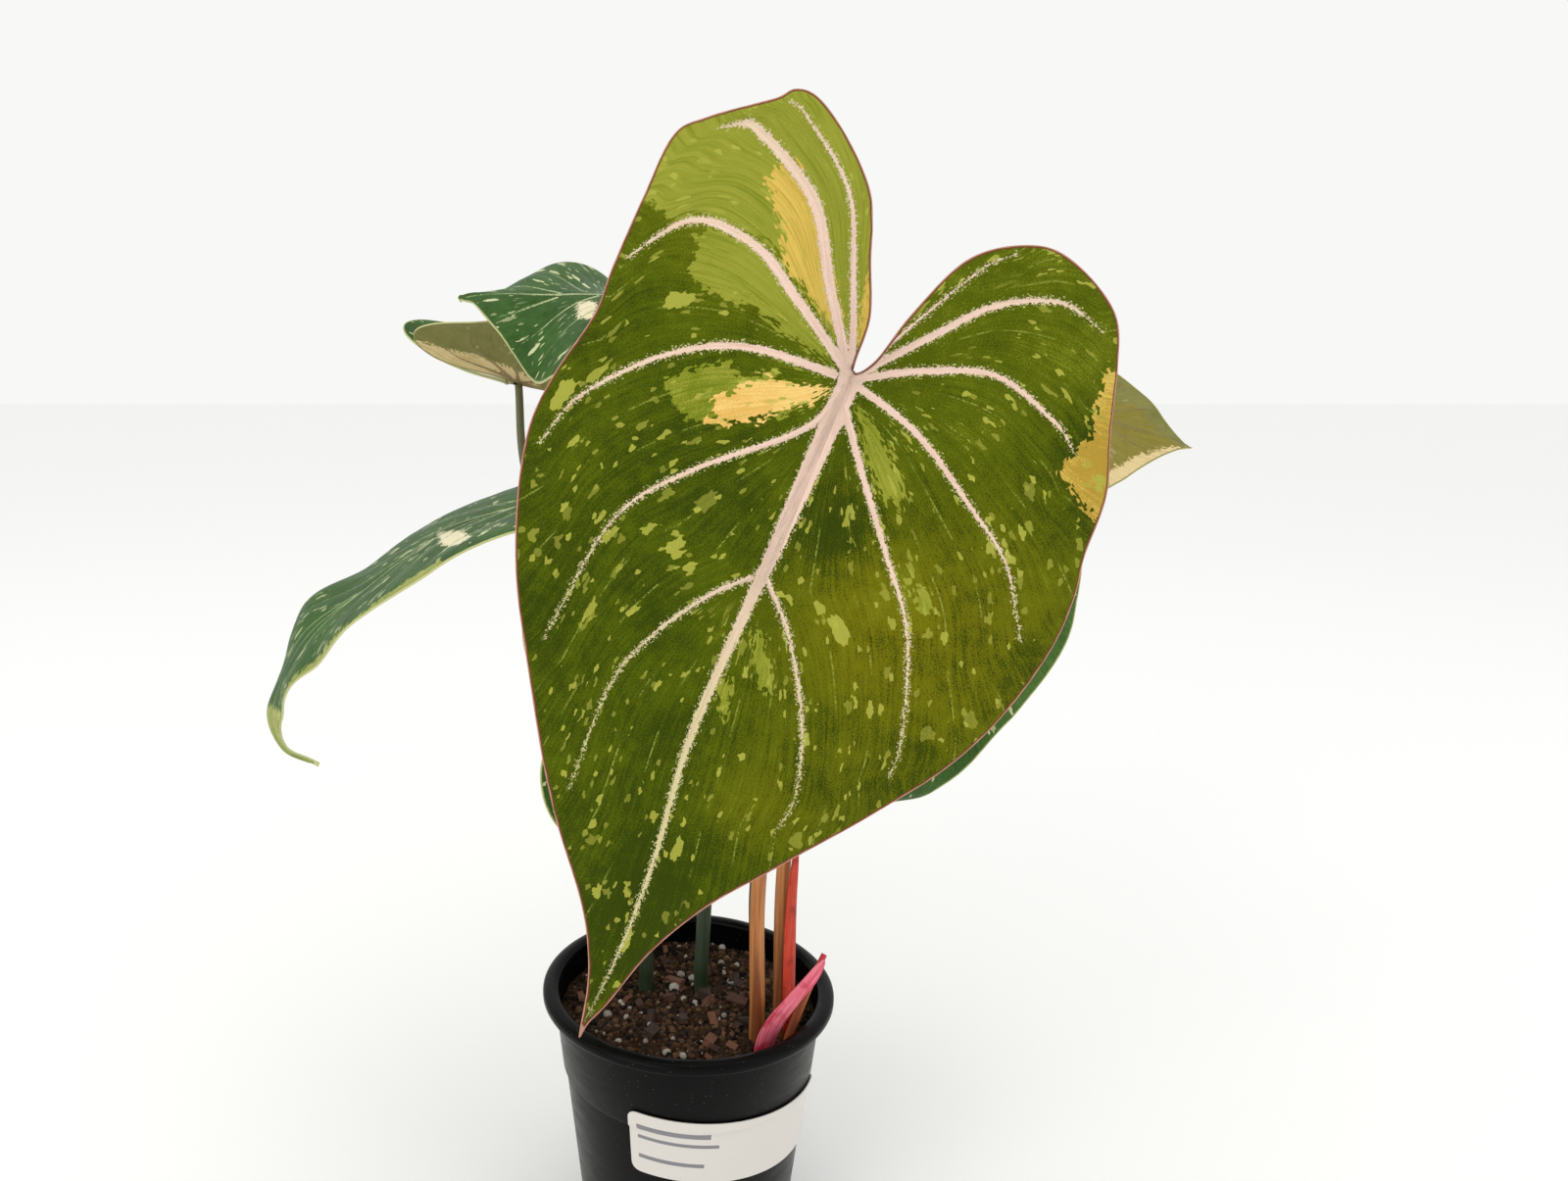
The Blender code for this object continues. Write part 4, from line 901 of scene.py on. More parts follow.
def strew(name, places, crag, crag_scale, material, boxy=False):
    """Runs the lump nodes over the places and keeps the result as one plain mesh."""
    carrier = bpy.data.objects.new(name, places)
    bpy.context.scene.collection.objects.link(carrier)
    modifier = carrier.modifiers.new("lumps", "NODES")
    modifier.node_group = lump_tree(f"{name} lumps", boxy)
    values = {"Crag": crag, "Crag scale": crag_scale, "Finish": material}
    for item in modifier.node_group.interface.items_tree:
        if item.item_type == "SOCKET" and item.in_out == "INPUT" and item.name in values:
            modifier[item.identifier] = values[item.name]
    graph = bpy.context.evaluated_depsgraph_get()
    mesh = bpy.data.meshes.new_from_object(carrier.evaluated_get(graph), depsgraph=graph)
    bpy.data.objects.remove(carrier)
    if not mesh.polygons:
        raise RuntimeError(f"{name}: the lump nodes made nothing")
    mesh.name = name
    return mesh


def linear(colour):
    """The linear values of an sRGB hex colour."""
    values = [int(colour[i : i + 2], 16) / 255 for i in (1, 3, 5)]
    return tuple(v / 12.92 if v <= 0.04045 else ((v + 0.055) / 1.055) ** 2.4 for v in values)


def opaque(colour):
    """A hex colour, or a linear one, with full alpha."""
    return (*(linear(colour) if isinstance(colour, str) else colour), 1.0)


def fill_inputs(tree, node, inputs):
    """Gives inputs, in order or by name, a value, a colour, a socket or a node's first live output."""
    for socket, value in inputs.items() if isinstance(inputs, dict) else enumerate(inputs):
        if isinstance(value, bpy.types.Node):
            value = next(output for output in value.outputs if output.enabled)
        if isinstance(value, bpy.types.NodeSocket):
            tree.links.new(value, node.inputs[socket])
        elif node.inputs[socket].type == "RGBA":
            node.inputs[socket].default_value = opaque(value)
        else:
            node.inputs[socket].default_value = value


def add_node(tree, kind, inputs=(), **settings):
    """Adds a node with its settings and inputs; a shader node is named without its prefix."""
    made = tree.nodes.new(kind if "Node" in kind else f"ShaderNode{kind}")
    for name, value in settings.items():
        setattr(made, name, value)
    fill_inputs(tree, made, inputs)
    return made


def new_material(name):
    """A material, and the add_node of its node tree."""
    made = bpy.data.materials.new(name)
    made.use_nodes = True
    return made, partial(add_node, made.node_tree)


def finish_surface(made, colour, layers, height, depth, **inputs):
    """Lays shades over a colour by their masks, and gives the shader that, a bump in metres and its inputs."""
    tree = made.node_tree
    for mask, shade in layers:
        colour = add_node(tree, "Mix", {0: mask, 6: colour, 7: shade}, data_type="RGBA")
    bump = add_node(tree, "Bump", {"Height": height, "Distance": depth, "Strength": 1.0})
    named = {socket.replace("_", " "): value for socket, value in inputs.items()}
    fill_inputs(tree, tree.nodes["Principled BSDF"], {"Base Color": colour, "Normal": bump, **named})
    return made


def leaf_material(name, look):
    """A leaf's skin: green streaked along its nerves, with patches, flecks and feathered pale veins."""
    made, add = new_material(name)
    smooth = {"interpolation_type": "SMOOTHSTEP"}
    kept = [
        add("Attribute", attribute_name=field).outputs["Vector"]
        for field in ("flat", "flow", "fields", "marks", "tone")
    ]
    flat, flow = kept[:2]
    run, field, marks, tone = (add("SeparateXYZ", (values,)).outputs for values in kept[1:])
    # Where veins crowd together, streaks and nerves fade out
    open_place = add("MapRange", (run[2], 7.0, 15.0), **smooth)

    # Streaks run along the nerves: many across them, few along them
    strand = add("VectorMath", (flow, (30.0, 0.05, 0.0)), operation="MULTIPLY")
    streak = add("TexNoise", {"Vector": strand, "Scale": 1.0, "Detail": 4.0, "Roughness": 0.7})
    clump = add("TexNoise", {"Vector": flat, "Scale": 0.05, "Detail": 2.0})
    mottle = add("TexNoise", {"Vector": flat, "Scale": 0.28, "Detail": 3.0})
    grain = add("TexNoise", {"Vector": flat, "Scale": 2.6, "Detail": 2.0})
    total = add("Math", (streak, 0.66, -0.33), operation="MULTIPLY_ADD")
    total = add("Math", (total, open_place), operation="MULTIPLY")
    for source, share in ((clump, 0.5), (mottle, 0.35), (grain, 0.8)):
        part = add("Math", (source, share, -share / 2), operation="MULTIPLY_ADD")
        total = add("Math", (total, part), operation="ADD")
    # The placed spots' lighter share joins the mottle here: partly the leaf's own colour, partly painted shade
    # and painted light
    total = add("Math", (tone[1], 0.5, total), operation="MULTIPLY_ADD")
    darker = add("MapRange", (total, 0.02, -0.28), **smooth)
    lighter = add("MapRange", (total, 0.02, 0.34), **smooth)
    # Warmth from the placed spots: partly the leaf's own warmer colour, partly painted light coming through the
    # blade
    warmth = add("Math", (tone[0], 0.7), operation="MULTIPLY", use_clamp=True)
    layers = [(warmth, look["warm"]), (lighter, look["light"]), (darker, look["dark"])]

    # Small shards of skin give patches and flecks their torn, angular edges
    grid = add("VectorMath", (flow, (38.0, 0.8, 0.0)), operation="MULTIPLY")
    shard = add("TexVoronoi", {"Vector": grid, "Scale": 1.0}).outputs
    chance = add("SeparateXYZ", (shard["Color"],)).outputs

    # Patches end in steps that follow the nerves
    torn = add("VectorMath", (shard["Position"], (0.16, 0.2, 0.0)), operation="MULTIPLY")
    cell = add("SeparateXYZ", (add("TexVoronoi", {"Vector": torn, "Scale": 5.0}).outputs["Color"],)).outputs
    jag = -1.2
    for source, share in ((cell[0], 2.4), (chance[0], 0.8), (mottle, 2.0)):
        jag = add("Math", (source, share, jag), operation="MULTIPLY_ADD")
    jag = add("Math", (jag, 1.4), operation="SUBTRACT")
    brushed = add("MapRange", (streak, 0.22, 0.62), **smooth)
    for place, kind in enumerate(("lime", "gold", "cream")):
        plain, deep = look[kind]
        inner = add("Math", (marks[place], jag), operation="ADD")
        shade = add("Mix", {0: brushed, 6: deep, 7: plain}, data_type="RGBA")
        shade = add("Mix", {0: darker, 6: shade, 7: deep}, data_type="RGBA")
        layers.append((add("MapRange", (inner, -0.08, 0.08), **smooth), shade))

    # Flecks: torn spots on some cells of each net, thicker in some places
    for size, share, seed in look["flecks"]:
        spread = (0.85 / size, 0.75 / size, 0.0)
        net = add("VectorMath", (shard["Position"], spread, (seed, seed, 0.0)), operation="MULTIPLY_ADD")
        spots = add("TexVoronoi", {"Vector": net, "Scale": 1.0}).outputs
        pick = add("SeparateXYZ", (spots["Color"],)).outputs
        bar = add("Math", (clump, -0.7, 1.35 - share), operation="MULTIPLY_ADD")
        mask = add("Math", (pick[0], bar), operation="GREATER_THAN")
        reach = add("Math", (pick[1], 0.34, 0.16), operation="MULTIPLY_ADD")
        within = add("Math", (reach, spots["Distance"]), operation="GREATER_THAN")
        some = add("Math", (pick[2], 0.6, 0.4), operation="MULTIPLY_ADD")
        for factor in (within, open_place, some, look["fleck_strength"]):
            mask = add("Math", (mask, factor), operation="MULTIPLY")
        layers.append((mask, look["fleck"]))

    # Nerves: dotted hair lines between the veins
    cells = add("TexVoronoi", {"Vector": flat, "Scale": 2.9})
    tooth = add("SeparateXYZ", (cells.outputs["Color"],)).outputs
    fold = add("Math", (run[0], 0.1667), operation="PINGPONG")
    away = add("Math", (fold, run[2]), operation="MULTIPLY")
    away = add("Math", (grain, 0.25, away), operation="MULTIPLY_ADD")
    line = add("MapRange", (away, 0.42, 0.20), **smooth)
    broken = add("VectorMath", (flow, (2.0, 0.09, 0.0)), operation="MULTIPLY")
    gaps = add("TexNoise", {"Vector": broken, "Scale": 1.0, "Detail": 3.0})
    shown = add("MapRange", (gaps, 0.48, 0.60), **smooth)
    dots = add("MapRange", (tooth[2], 0.25, 0.5))
    for factor in (shown, dots, open_place, look["nerve_strength"]):
        line = add("Math", (line, factor), operation="MULTIPLY")
    layers.append((line, look["nerve"]))

    # Veins: pale bands that break up into pale grains at their edges, pinkish at the petiole
    feather = add("TexNoise", {"Vector": flat, "Scale": 0.9, "Detail": 3.0, "Roughness": 0.7})
    feather = add("Math", (tooth[0], 0.6, feather), operation="MULTIPLY_ADD")
    amount = add("MapRange", (run[1], 4.0, 70.0, 0.5, 1.05))
    rough = add("Math", (feather, 0.65), operation="SUBTRACT")
    rough = add("Math", (rough, amount, field[0]), operation="MULTIPLY_ADD")
    band = add("MapRange", (rough, 0.05, -0.05), **smooth)
    fringe = add("Math", (rough, -0.4, tooth[1]), operation="MULTIPLY_ADD")
    halo = add("MapRange", (fringe, 0.56, 0.66))
    halo = add("Math", (halo, look["halo_strength"]), operation="MULTIPLY")
    along = add("MapRange", (run[1], 25.0, 120.0), **smooth)
    vein = add("Mix", {0: along, 6: look["vein_near"], 7: look["vein_far"]}, data_type="RGBA")
    pink = add("MapRange", (streak, 0.50, 0.66, 0.0, 0.45))
    vein = add("Mix", {0: pink, 6: vein, 7: look["vein_line"]}, data_type="RGBA")
    layers += [(halo, look["halo"]), (band, vein)]

    # The margin: a pale pinkish rim, partly the leaf's own colour and partly a painted highlight along the
    # edge, with a dark brown line inside it
    worn = add("Math", (mottle, 0.5, field[1]), operation="MULTIPLY_ADD")
    for inner, outer, shade in ((1.05, 0.7, "margin_inner"), (0.62, 0.45, "margin_outer")):
        layers.append((add("MapRange", (worn, inner, outer), **smooth), look[shade]))

    soft = add("TexNoise", {"Vector": flat, "Scale": 0.075, "Detail": 1.0})
    height = streak
    for source, share in ((grain, 0.6), (band, look["vein_bump"]), (soft, 5.0)):
        height = add("Math", (source, share, height), operation="MULTIPLY_ADD")
    finish = {"Roughness": look["roughness"], "Specular_IOR_Level": look["gloss"]}
    return finish_surface(made, look["mid"], layers, height, look["bump"], **finish)


def stem_material(name, colour, edge_colour, tip_colour):
    """A fleshy stem: waxy skin with fine length-wise streaks, darker down its sides."""
    made, add = new_material(name)
    stem = add("Attribute", attribute_name="stem").outputs["Vector"]
    rise = add("Attribute", attribute_name="rise").outputs["Fac"]
    fine = add("VectorMath", (stem, (1.6, 1.6, 0.06)), operation="MULTIPLY")
    streak = add("TexNoise", {"Vector": fine, "Scale": 1.0, "Detail": 4.0})
    broad = add("VectorMath", (stem, (0.35, 0.35, 0.02)), operation="MULTIPLY")
    side = add("TexNoise", {"Vector": broad, "Scale": 1.0, "Detail": 1.0})
    speck = add("TexVoronoi", {"Vector": stem, "Scale": 0.9})
    layers = (
        (add("MapRange", (side, 0.42, 0.62)), edge_colour),
        (add("MapRange", (streak, 0.45, 0.75, 0.0, 0.7)), edge_colour),
        (add("MapRange", (rise, 0.6, 1.0)), tip_colour),
        (add("MapRange", (speck, 0.16, 0.05, 0.0, 0.35)), tip_colour),
    )
    return finish_surface(made, colour, layers, streak, 0.0003, Roughness=0.42, Specular_IOR_Level=0.22)


def sheath_material(name, colour, foot_colour, tip_colour):
    """A cataphyll: a thin, fleshy, glossy sheath, streaked from its foot to its point."""
    made, add = new_material(name)
    flat = add("Attribute", attribute_name="flat").outputs["Vector"]
    fine = add("VectorMath", (flat, (0.06, 1.6, 0.0)), operation="MULTIPLY")
    streak = add("TexNoise", {"Vector": fine, "Scale": 1.0, "Detail": 4.0})
    patch = add("TexNoise", {"Vector": flat, "Scale": 0.16, "Detail": 3.0})
    layers = (
        (add("MapRange", (streak, 0.4, 0.7, 0.0, 0.8)), foot_colour),
        (add("MapRange", (patch, 0.5, 0.7)), tip_colour),
    )
    finish = {"Subsurface_Weight": 0.15, "Subsurface_Radius": (0.004, 0.001, 0.001), "Roughness": 0.38}
    return finish_surface(made, colour, layers, streak, 0.0003, Specular_IOR_Level=0.22, **finish)


def polypropylene(name, colour):
    """Moulded black polypropylene: a satin skin with faint mould grain, dust and rubbed places."""
    made, add = new_material(name)
    place = add("TexCoord").outputs["Object"]
    grain = add("TexNoise", {"Vector": place, "Scale": 2200.0, "Detail": 2.0})
    rubbed = add("VectorMath", (place, (90.0, 90.0, 420.0)), operation="MULTIPLY")
    scuff = add("TexNoise", {"Vector": rubbed, "Scale": 1.0, "Detail": 6.0, "Roughness": 0.7})
    dust = add("TexVoronoi", {"Vector": place, "Scale": 420.0})
    layers = (
        (add("MapRange", (scuff, 0.52, 0.78, 0.0, 0.3)), "#101012"),
        (add("MapRange", (dust, 0.12, 0.04, 0.0, 0.4)), "#6f665d"),
    )
    rough = add("MapRange", (scuff, 0.3, 0.8, 0.24, 0.46))
    finish = {"Roughness": rough, "IOR": 1.49, "Specular_IOR_Level": 0.09}
    return finish_surface(made, colour, layers, grain, 0.00003, **finish)


def label_paper(name, colour, ink):
    """A gloss-coated paper sticker with plain ruled lines printed in grey."""
    made, add = new_material(name)
    sheet = add("Attribute", attribute_name="sheet").outputs["Vector"]
    at = add("SeparateXYZ", (sheet,)).outputs
    fibre = add("TexNoise", {"Vector": sheet, "Scale": 1.2, "Detail": 3.0})
    layers = [(add("MapRange", (fibre, 0.4, 0.7, 0.0, 0.35)), "#cfcac4")]
    for middle, half, start, end in LABEL_RULES:
        printed = add("Math", (at[1], middle, half), operation="COMPARE")
        after = add("Math", (at[0], start), operation="GREATER_THAN")
        before = add("Math", (at[0], end), operation="LESS_THAN")
        for factor in (after, before):
            printed = add("Math", (printed, factor), operation="MULTIPLY")
        layers.append((printed, ink))
    finish = {"Roughness": 0.28, "Coat_Weight": 0.4, "Coat_Roughness": 0.15}
    return finish_surface(made, colour, layers, fibre, 0.00002, **finish)


def crumb_material(name, dark, light, scale, roughness=0.9, depth=0.0006):
    """Something crumbly: each lump its own shade, with pores and a dull, uneven face."""
    made, add = new_material(name)
    place = add("TexCoord").outputs["Object"]
    tint = add("Attribute", attribute_name="tint").outputs["Fac"]
    fine = add("TexNoise", {"Vector": place, "Scale": scale * 4, "Detail": 4.0, "Roughness": 0.7})
    crumb = add("TexVoronoi", {"Vector": place, "Scale": scale})
    shade = add("Math", (fine, 0.9, tint), operation="MULTIPLY_ADD")
    layers = (
        (add("MapRange", (shade, 0.62, 1.5)), light),
        (add("MapRange", (crumb, 0.0, 0.5, 0.0, 0.5)), tuple(v * 0.45 for v in dark)),
    )
    return finish_surface(made, dark, layers, fine, depth, Roughness=roughness, Specular_IOR_Level=0.2)


def bark_material(name, dark, light):
    """Composted pine bark: long fibres, some of them rubbed to a lighter brown."""
    made, add = new_material(name)
    place = add("TexCoord").outputs["Object"]
    tint = add("Attribute", attribute_name="tint").outputs["Fac"]
    long = add("VectorMath", (place, (500.0, 1600.0, 1600.0)), operation="MULTIPLY")
    fibre = add("TexNoise", {"Vector": long, "Scale": 1.0, "Detail": 4.0, "Distortion": 0.6})
    shade = add("Math", (fibre, 1.0, tint), operation="MULTIPLY_ADD")
    layers = ((add("MapRange", (shade, 0.6, 1.4)), light),)
    return finish_surface(made, dark, layers, fibre, 0.0006, Roughness=0.8)


def backdrop_material(name, colour):
    """A matt painted studio floor, very slightly uneven."""
    made, add = new_material(name)
    place = add("TexCoord").outputs["Object"]
    cloud = add("TexNoise", {"Vector": place, "Scale": 3.0, "Detail": 3.0})
    layers = ((add("MapRange", (cloud, 0.3, 0.7, 0.0, 0.15)), tuple(v * 0.97 for v in colour)),)
    return finish_surface(made, colour, layers, cloud, 0.0002, Roughness=0.85)


def leaf_look(settings, kind):
    """The shades that one kind of leaf face is made of; flecks are (width, share of cells, seed)."""
    look = {
        "lime": (settings.lime, "#6c7a18"),
        "gold": (settings.gold, "#ac8e36"),
        "cream": (settings.cream, "#dcb05a"),
        "warm": "#7c740c",
        "vein_near": settings.vein,
        "vein_far": "#cfc794",
        "vein_line": "#c99a86",
        # The pale outer rim: partly the margin's colour, partly a painted highlight on the edge
        "margin_inner": "#6e3c2c",
        "margin_outer": "#b98a78",
        "roughness": 0.55,
        "gloss": 0.03,
        "bump": 0.0003,
        "vein_bump": -0.4,
    }
    if kind == "young":
        look.update(
            mid=settings.young, dark="#334006", light="#757f1c",
            halo="#c4bf8a", halo_strength=0.85, nerve="#98a244", nerve_strength=0.7,
            fleck="#a7a844", fleck_strength=0.9,
            flecks=((4.6, 0.10, 0.0), (2.4, 0.17, 40.0), (1.5, 0.14, 80.0)),
        )
    elif kind == "mature":
        look.update(
            mid=settings.mature, dark="#213c15", light="#547a38", warm="#64782c",
            vein_near="#c0c696", vein_far="#8caa68", vein_line="#8ca468",
            halo="#5a8048", halo_strength=0.4, nerve="#4c743c", nerve_strength=0.4,
            fleck="#cfd3a2", fleck_strength=0.95, flecks=((4.6, 0.18, 0.0), (2.4, 0.15, 40.0)),
            margin_inner="#77884a", margin_outer="#c4c48c", roughness=0.42, gloss=0.12,
            lime=("#a3a858", "#76843a"), cream=("#efe6c8", "#d8cc98"),
        )
    elif kind == "young_under":
        look.update(
            mid="#66753a", dark="#4f5f28", light="#8a9656",
            halo="#a0aa6c", halo_strength=0.4, nerve="#8f9a5c", nerve_strength=0.5,
            fleck="#a8ad68", fleck_strength=0.6, flecks=((5.2, 0.11, 0.0), (2.6, 0.10, 40.0)),
            vein_near="#d0ae94", vein_far="#b6b080", vein_bump=0.8, roughness=0.6,
        )
    else:
        look.update(
            mid=settings.under, dark="#6a6d34", light="#9c9856", warm="#8a7430",
            halo="#86854c", halo_strength=0.3, nerve="#7c7e46", nerve_strength=0.5,
            fleck="#c2ba86", fleck_strength=0.5, flecks=((5.2, 0.10, 0.0), (2.8, 0.08, 40.0)),
            vein_near="#a08c62", vein_far="#86844f", vein_line="#76683e", vein_bump=0.8,
            margin_inner="#77793f", margin_outer="#b9b27c", gloss=0.12,
            cream=("#e8d29e", "#cdb577"), lime=("#93883c", "#746d2c"),
        )
    return look


def add_light(name, power):
    """A square softbox that faces the plant."""
    place, size, colour = SOFTBOXES[name]
    lamp = bpy.data.lights.new(f"{name}_softbox", "AREA")
    lamp.size = size
    lamp.energy = power
    lamp.color = colour
    made = bpy.data.objects.new(lamp.name, lamp)
    made.location = place
    made.rotation_euler = (Vector(PLANT_MIDDLE) - Vector(place)).to_track_quat("-Z", "Y").to_euler()
    bpy.context.scene.collection.objects.link(made)


def colour_property(name, description, hex_colour):
    return FloatVectorProperty(
        name=name, description=description, subtype="COLOR", size=3, min=0.0, max=1.0,
        default=linear(hex_colour),
    )


class PotSettings(PropertyGroup):
    wall: FloatProperty(
        name="Wall", description="Thickness of the pot's wall", default=POT_WALL * MM, min=0.0005, unit="LENGTH"
    )
    plastic: colour_property("Plastic", "Black polypropylene of the pot", "#030303")
    paper: colour_property("Label", "Paper of the sticker", "#d2cdc6")
    ink: colour_property("Rules", "Ink of the sticker's ruled lines", "#77757a")


class SoilSettings(PropertyGroup):
    step: FloatProperty(
        name="Surface step", description="Spacing of the soil top's points",
        default=0.00085, min=0.0004, unit="LENGTH"
    )
    grains: IntProperty(name="Grains", description="Number of soil crumbs", default=2400, min=0)
    perlite: IntProperty(name="Perlite", description="Number of perlite grains", default=110, min=10)
    chips: IntProperty(name="Bark chips", description="Number of bark chips", default=80, min=4)
    soil: colour_property("Soil", "Damp peat and coir", "#170e09")
    dry_soil: colour_property("Dry crumbs", "Crumbs that have dried", "#8a6444")
    bark: colour_property("Bark", "Composted pine bark", "#6e4630")
    white: colour_property("Perlite", "Expanded volcanic glass", "#d9d3c9")


class LeafSettings(PropertyGroup):
    front_step: FloatProperty(
        name="Front leaf step", description="Spacing of its points", default=0.001, min=0.0007, unit="LENGTH"
    )
    back_step: FloatProperty(
        name="Other leaves' step", description="Spacing of their points",
        default=0.0017, min=0.001, unit="LENGTH"
    )
    young: colour_property("Young green", "Upper side of the newest leaf", "#4f5c07")
    mature: colour_property("Mature green", "Upper side of the older leaves", "#375a22")
    under: colour_property("Underside", "Underside of the older leaves", "#86834a")
    gold: colour_property("Gold patches", "Yellow variegation", "#d6b858")
    lime: colour_property("Lime patches", "Half green variegation", "#959836")
    cream: colour_property("Cream patches", "Palest variegation", "#f0cc7c")
    vein: colour_property("Veins", "Pale vein bands at the petiole", "#e8cbb9")


class StemSettings(PropertyGroup):
    tan: colour_property("Tan petiole", "The two newest petioles", "#bc7c48")
    green: colour_property("Green petiole", "The older petioles", "#3a4630")
    red: colour_property("Red sheath", "The upright cataphyll", "#b8321c")
    pink: colour_property("Pink sheath", "The open cataphyll", "#d4506a")


class StageSettings(PropertyGroup):
    floor: colour_property("Floor", "Matt studio sweep", "#fafaf9")
    key: FloatProperty(name="Key light", description="Watts, from the upper left", default=7.5, min=0.0)
    fill: FloatProperty(name="Fill light", description="Watts, from the right", default=2.5, min=0.0)
    top: FloatProperty(name="Top light", description="Watts, from overhead", default=2.0, min=0.0)
    sky: FloatProperty(name="Surround", description="Strength of the room's light", default=1.0, min=0.0)


class PHILODENDRON_OT_pot(Operator):
    """Make the nursery pot"""

    bl_idname = "philodendron.pot"
    bl_label = "Pot"

    def execute(self, context):
        settings = context.scene.philodendron_pot
        material = polypropylene("moulded_black_polypropylene", settings.plastic)
        mesh = turned_mesh("nursery_pot", pot_profile(settings.wall / MM), POT_SEGMENTS, material)
        add_piece(mesh, "black_plastic", "pot")
        return {"FINISHED"}


class PHILODENDRON_OT_label(Operator):
    """Make the sticker on the pot, ruled and without words"""

    bl_idname = "philodendron.label"
    bl_label = "Label"

    def execute(self, context):
        settings = context.scene.philodendron_pot
        material = label_paper("gloss_coated_label_paper", settings.paper, settings.ink)
        add_piece(label_mesh("pot_label", material), "white_label", "label")
        return {"FINISHED"}


class PHILODENDRON_OT_soil(Operator):
    """Make the potting mix: its top, crumbs, bark chips and perlite"""

    bl_idname = "philodendron.soil"
    bl_label = "Soil"

    def execute(self, context):
        settings = context.scene.philodendron_soil
        earth = crumb_material("damp_peat_and_coir", settings.soil, settings.dry_soil, 700.0)
        bark = bark_material("composted_pine_bark", "#2c1a10", settings.bark)
        glass = crumb_material("expanded_perlite", linear("#a39a8e"), settings.white, 1500.0, 0.8, 0.0003)
        add_piece(soil_mesh("potting_mix", settings.step / MM, earth), "soil_mix", "soil")
        grains = strewn_points(settings.grains, (0.9, 3.0), (1.0, 1.0, 0.8), 11)
        add_piece(strew("soil_crumbs", grains, 0.0009, 700.0, earth), "soil_mix")
        chips = strewn_points(settings.chips, (2.0, 6.5), (1.0, 0.5, 0.35), 12, BARK_SEEN, lift=0.15)
        add_piece(strew("bark_chips", chips, 0.0012, 350.0, bark, boxy=True), "soil_mix")
        balls = strewn_points(settings.perlite, (0.9, 3.2), (1.0, 1.0, 0.9), 13, PERLITE_SEEN, lift=0.2)
        add_piece(strew("perlite_grains", balls, 0.0007, 900.0, glass), "soil_mix")
        return {"FINISHED"}


class PHILODENDRON_OT_front_leaf(Operator):
    """Make the big variegated leaf that faces the camera"""

    bl_idname = "philodendron.front_leaf"
    bl_label = "Front leaf"

    def execute(self, context):
        settings = context.scene.philodendron_leaf
        upper = leaf_material("young_leaf_upper_velvet", leaf_look(settings, "young"))
        lower = leaf_material("young_leaf_underside", leaf_look(settings, "young_under"))
        mesh = Blade(LEAVES["front"]).mesh("front_leaf", settings.front_step / MM, upper, lower)
        add_piece(mesh, "young_leaf", "front_blade")
        return {"FINISHED"}


class PHILODENDRON_OT_other_leaves(Operator):
    """Make the six leaves behind the front one"""

    bl_idname = "philodendron.other_leaves"
    bl_label = "Other leaves"

    def execute(self, context):
        settings = context.scene.philodendron_leaf
        upper = leaf_material("mature_leaf_upper_satin", leaf_look(settings, "mature"))
        lower = leaf_material("mature_leaf_underside", leaf_look(settings, "mature_under"))
        for name, leaf in LEAVES.items():
            if name != "front":
                mesh = Blade(leaf).mesh(f"{name}_leaf", settings.back_step / MM, upper, lower)
                add_piece(mesh, "mature_leaf", f"{name}_blade")
        return {"FINISHED"}


class PHILODENDRON_OT_petioles(Operator):
    """Make the seven petioles that carry the leaves"""

    bl_idname = "philodendron.petioles"
    bl_label = "Petioles"

    def execute(self, context):
        settings = context.scene.philodendron_stem
        tan = stem_material("young_petiole_skin", settings.tan, "#7c4626", "#a8583a")
        green = stem_material("mature_petiole_skin", settings.green, "#2c3826", "#6a6a4c")
        for name, leaf in LEAVES.items():
            slot, material = ("tan_petiole", tan) if name in TAN_PETIOLES else ("green_petiole", green)
            radii = (PETIOLE_FOOT_RADIUS, PETIOLE_TOP_RADIUS)
            add_piece(stem_mesh(f"{name}_stalk", petiole_route(leaf), radii, material), slot, f"{name}_petiole")
        return {"FINISHED"}


class PHILODENDRON_OT_young_growth(Operator):
    """Make the two cataphylls and the spike of the next leaf"""

    bl_idname = "philodendron.young_growth"
    bl_label = "Young growth"

    def execute(self, context):
        settings = context.scene.philodendron_stem
        red = sheath_material("red_cataphyll_skin", settings.red, "#cf5238", "#8e2416")
        pink = sheath_material("pink_cataphyll_skin", settings.pink, "#ee9aa4", "#b82c44")
        for name, material in (("red_sheath", red), ("pink_sheath", pink)):
            piece = name.replace("sheath", "cataphyll")
            add_piece(Blade(SHEATHS[name]).mesh(piece, SHEATH_STEP, material, material), name, name)
        skin = stem_material("young_shoot_skin", "#a85c34", "#7c3c22", "#c8384a")
        add_piece(stem_mesh("leaf_spike", YOUNG_SHOOT, YOUNG_SHOOT_RADII, skin), "tan_petiole", "young_shoot")
        return {"FINISHED"}


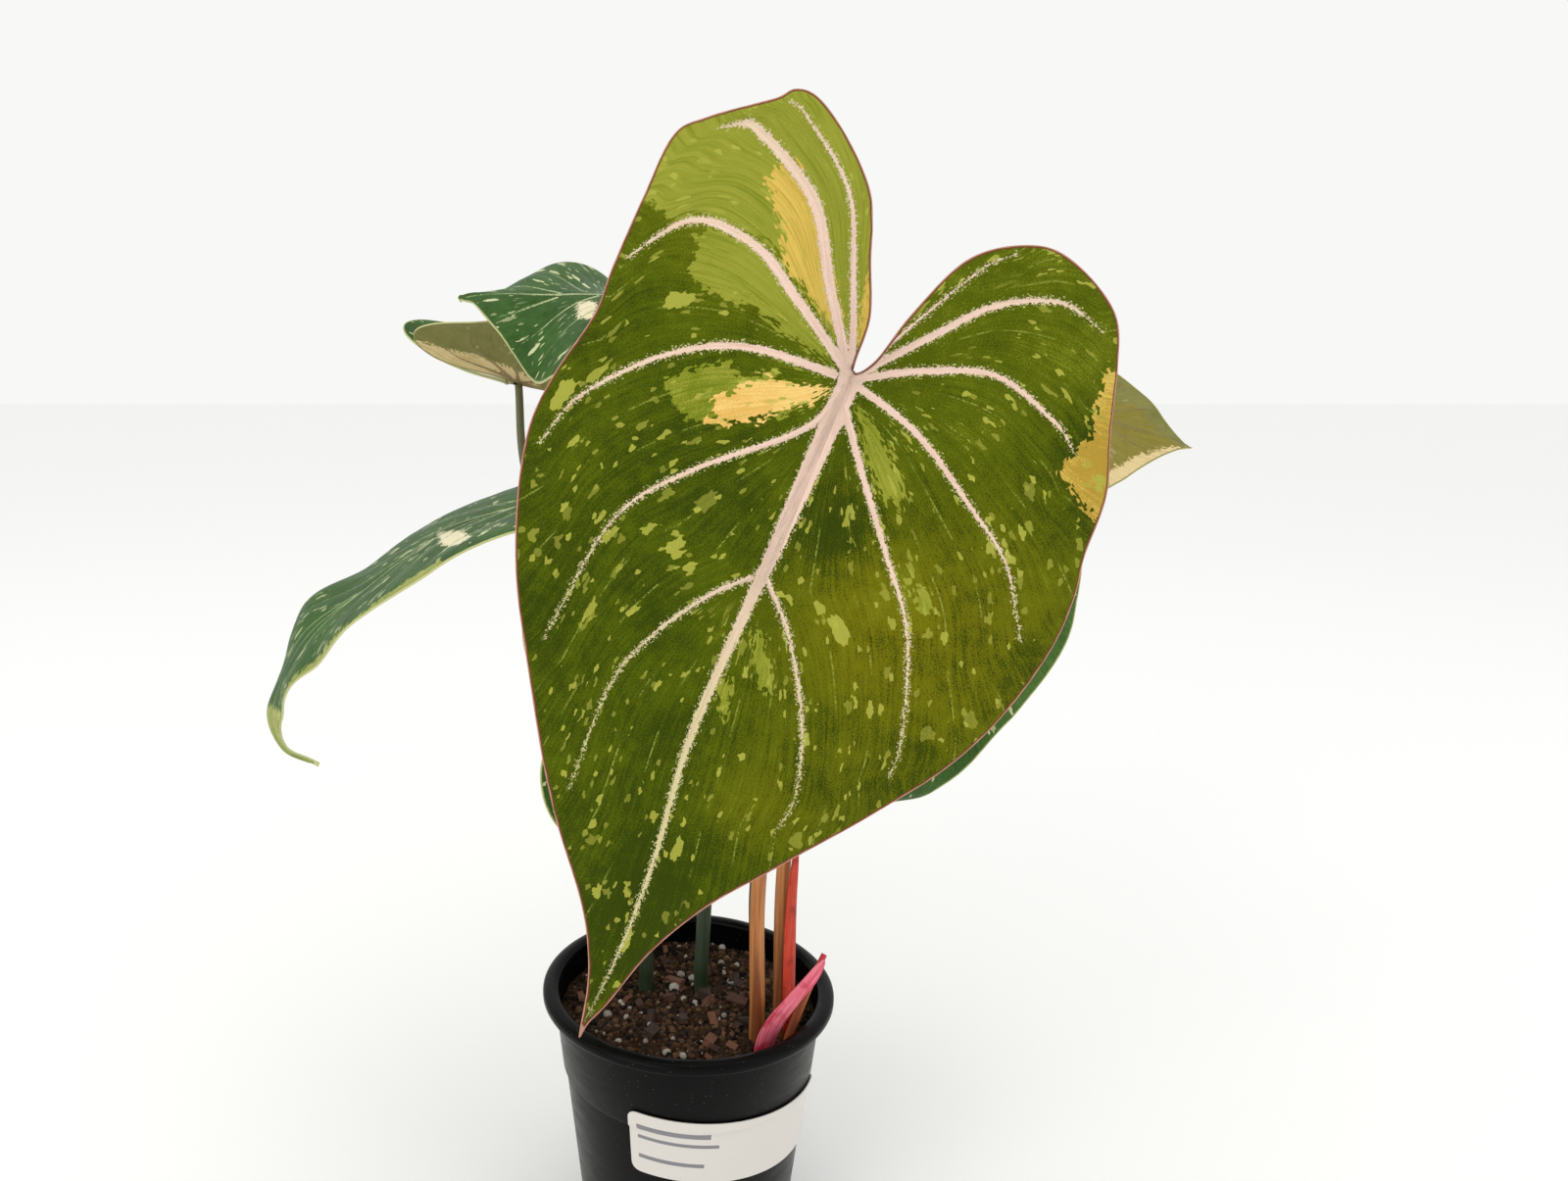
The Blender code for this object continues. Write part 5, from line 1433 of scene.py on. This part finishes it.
class PHILODENDRON_OT_stage(Operator):
    """Make the studio floor, the softboxes and the camera"""

    bl_idname = "philodendron.stage"
    bl_label = "Stage"

    def execute(self, context):
        settings = context.scene.philodendron_stage
        built = bmesh.new()
        bmesh.ops.create_grid(built, x_segments=24, y_segments=24, size=FLOOR_HALF)
        mesh = bpy.data.meshes.new("studio_floor")
        built.to_mesh(mesh)
        built.free()
        mesh.materials.append(backdrop_material("matt_studio_floor", settings.floor))
        floor = bpy.data.objects.new("studio_floor", mesh)
        context.scene.collection.objects.link(floor)
        for name in SOFTBOXES:
            add_light(name, getattr(settings, name))
        world = bpy.data.worlds.new("pale_room")
        world.use_nodes = True
        room = {"Color": "#f8f8f7", "Strength": settings.sky}
        fill_inputs(world.node_tree, world.node_tree.nodes["Background"], room)
        context.scene.world = world
        context.scene.view_settings.view_transform = "Standard"
        lens = bpy.data.cameras.new("camera")
        lens.sensor_width = 36.0
        lens.lens = CAMERA_LENS
        lens.shift_x = CAMERA_SHIFT
        lens.clip_start = 0.01
        camera = bpy.data.objects.new("camera", lens)
        camera.location = CAMERA_PLACE
        camera.rotation_euler = (math.radians(90 - CAMERA_PITCH), 0.0, 0.0)
        context.scene.collection.objects.link(camera)
        context.scene.camera = camera
        return {"FINISHED"}


class PHILODENDRON_PT_build(Panel):
    bl_label = "Potted philodendron"
    bl_space_type = "VIEW_3D"
    bl_region_type = "UI"
    bl_category = "Philodendron"

    def draw(self, context):
        for settings in SETTINGS:
            group = getattr(context.scene, settings)
            box = self.layout.box()
            for field in group.bl_rna.properties.keys():
                if field not in ("rna_type", "name"):
                    box.prop(group, field)
        for operator in OPERATORS:
            self.layout.operator(operator.bl_idname)


SETTINGS = {
    "philodendron_pot": PotSettings,
    "philodendron_soil": SoilSettings,
    "philodendron_leaf": LeafSettings,
    "philodendron_stem": StemSettings,
    "philodendron_stage": StageSettings,
}
OPERATORS = (
    PHILODENDRON_OT_pot,
    PHILODENDRON_OT_label,
    PHILODENDRON_OT_soil,
    PHILODENDRON_OT_front_leaf,
    PHILODENDRON_OT_other_leaves,
    PHILODENDRON_OT_petioles,
    PHILODENDRON_OT_young_growth,
    PHILODENDRON_OT_stage,
)


def register():
    for made in (*SETTINGS.values(), *OPERATORS, PHILODENDRON_PT_build):
        bpy.utils.register_class(made)
    for name, group in SETTINGS.items():
        setattr(bpy.types.Scene, name, PointerProperty(type=group))


def unregister():
    for name in SETTINGS:
        delattr(bpy.types.Scene, name)
    for made in reversed((*SETTINGS.values(), *OPERATORS, PHILODENDRON_PT_build)):
        bpy.utils.unregister_class(made)


def main():
    register()
    for operator in OPERATORS:
        group, name = operator.bl_idname.split(".")
        getattr(getattr(bpy.ops, group), name)()


if __name__ == "__main__":
    main()
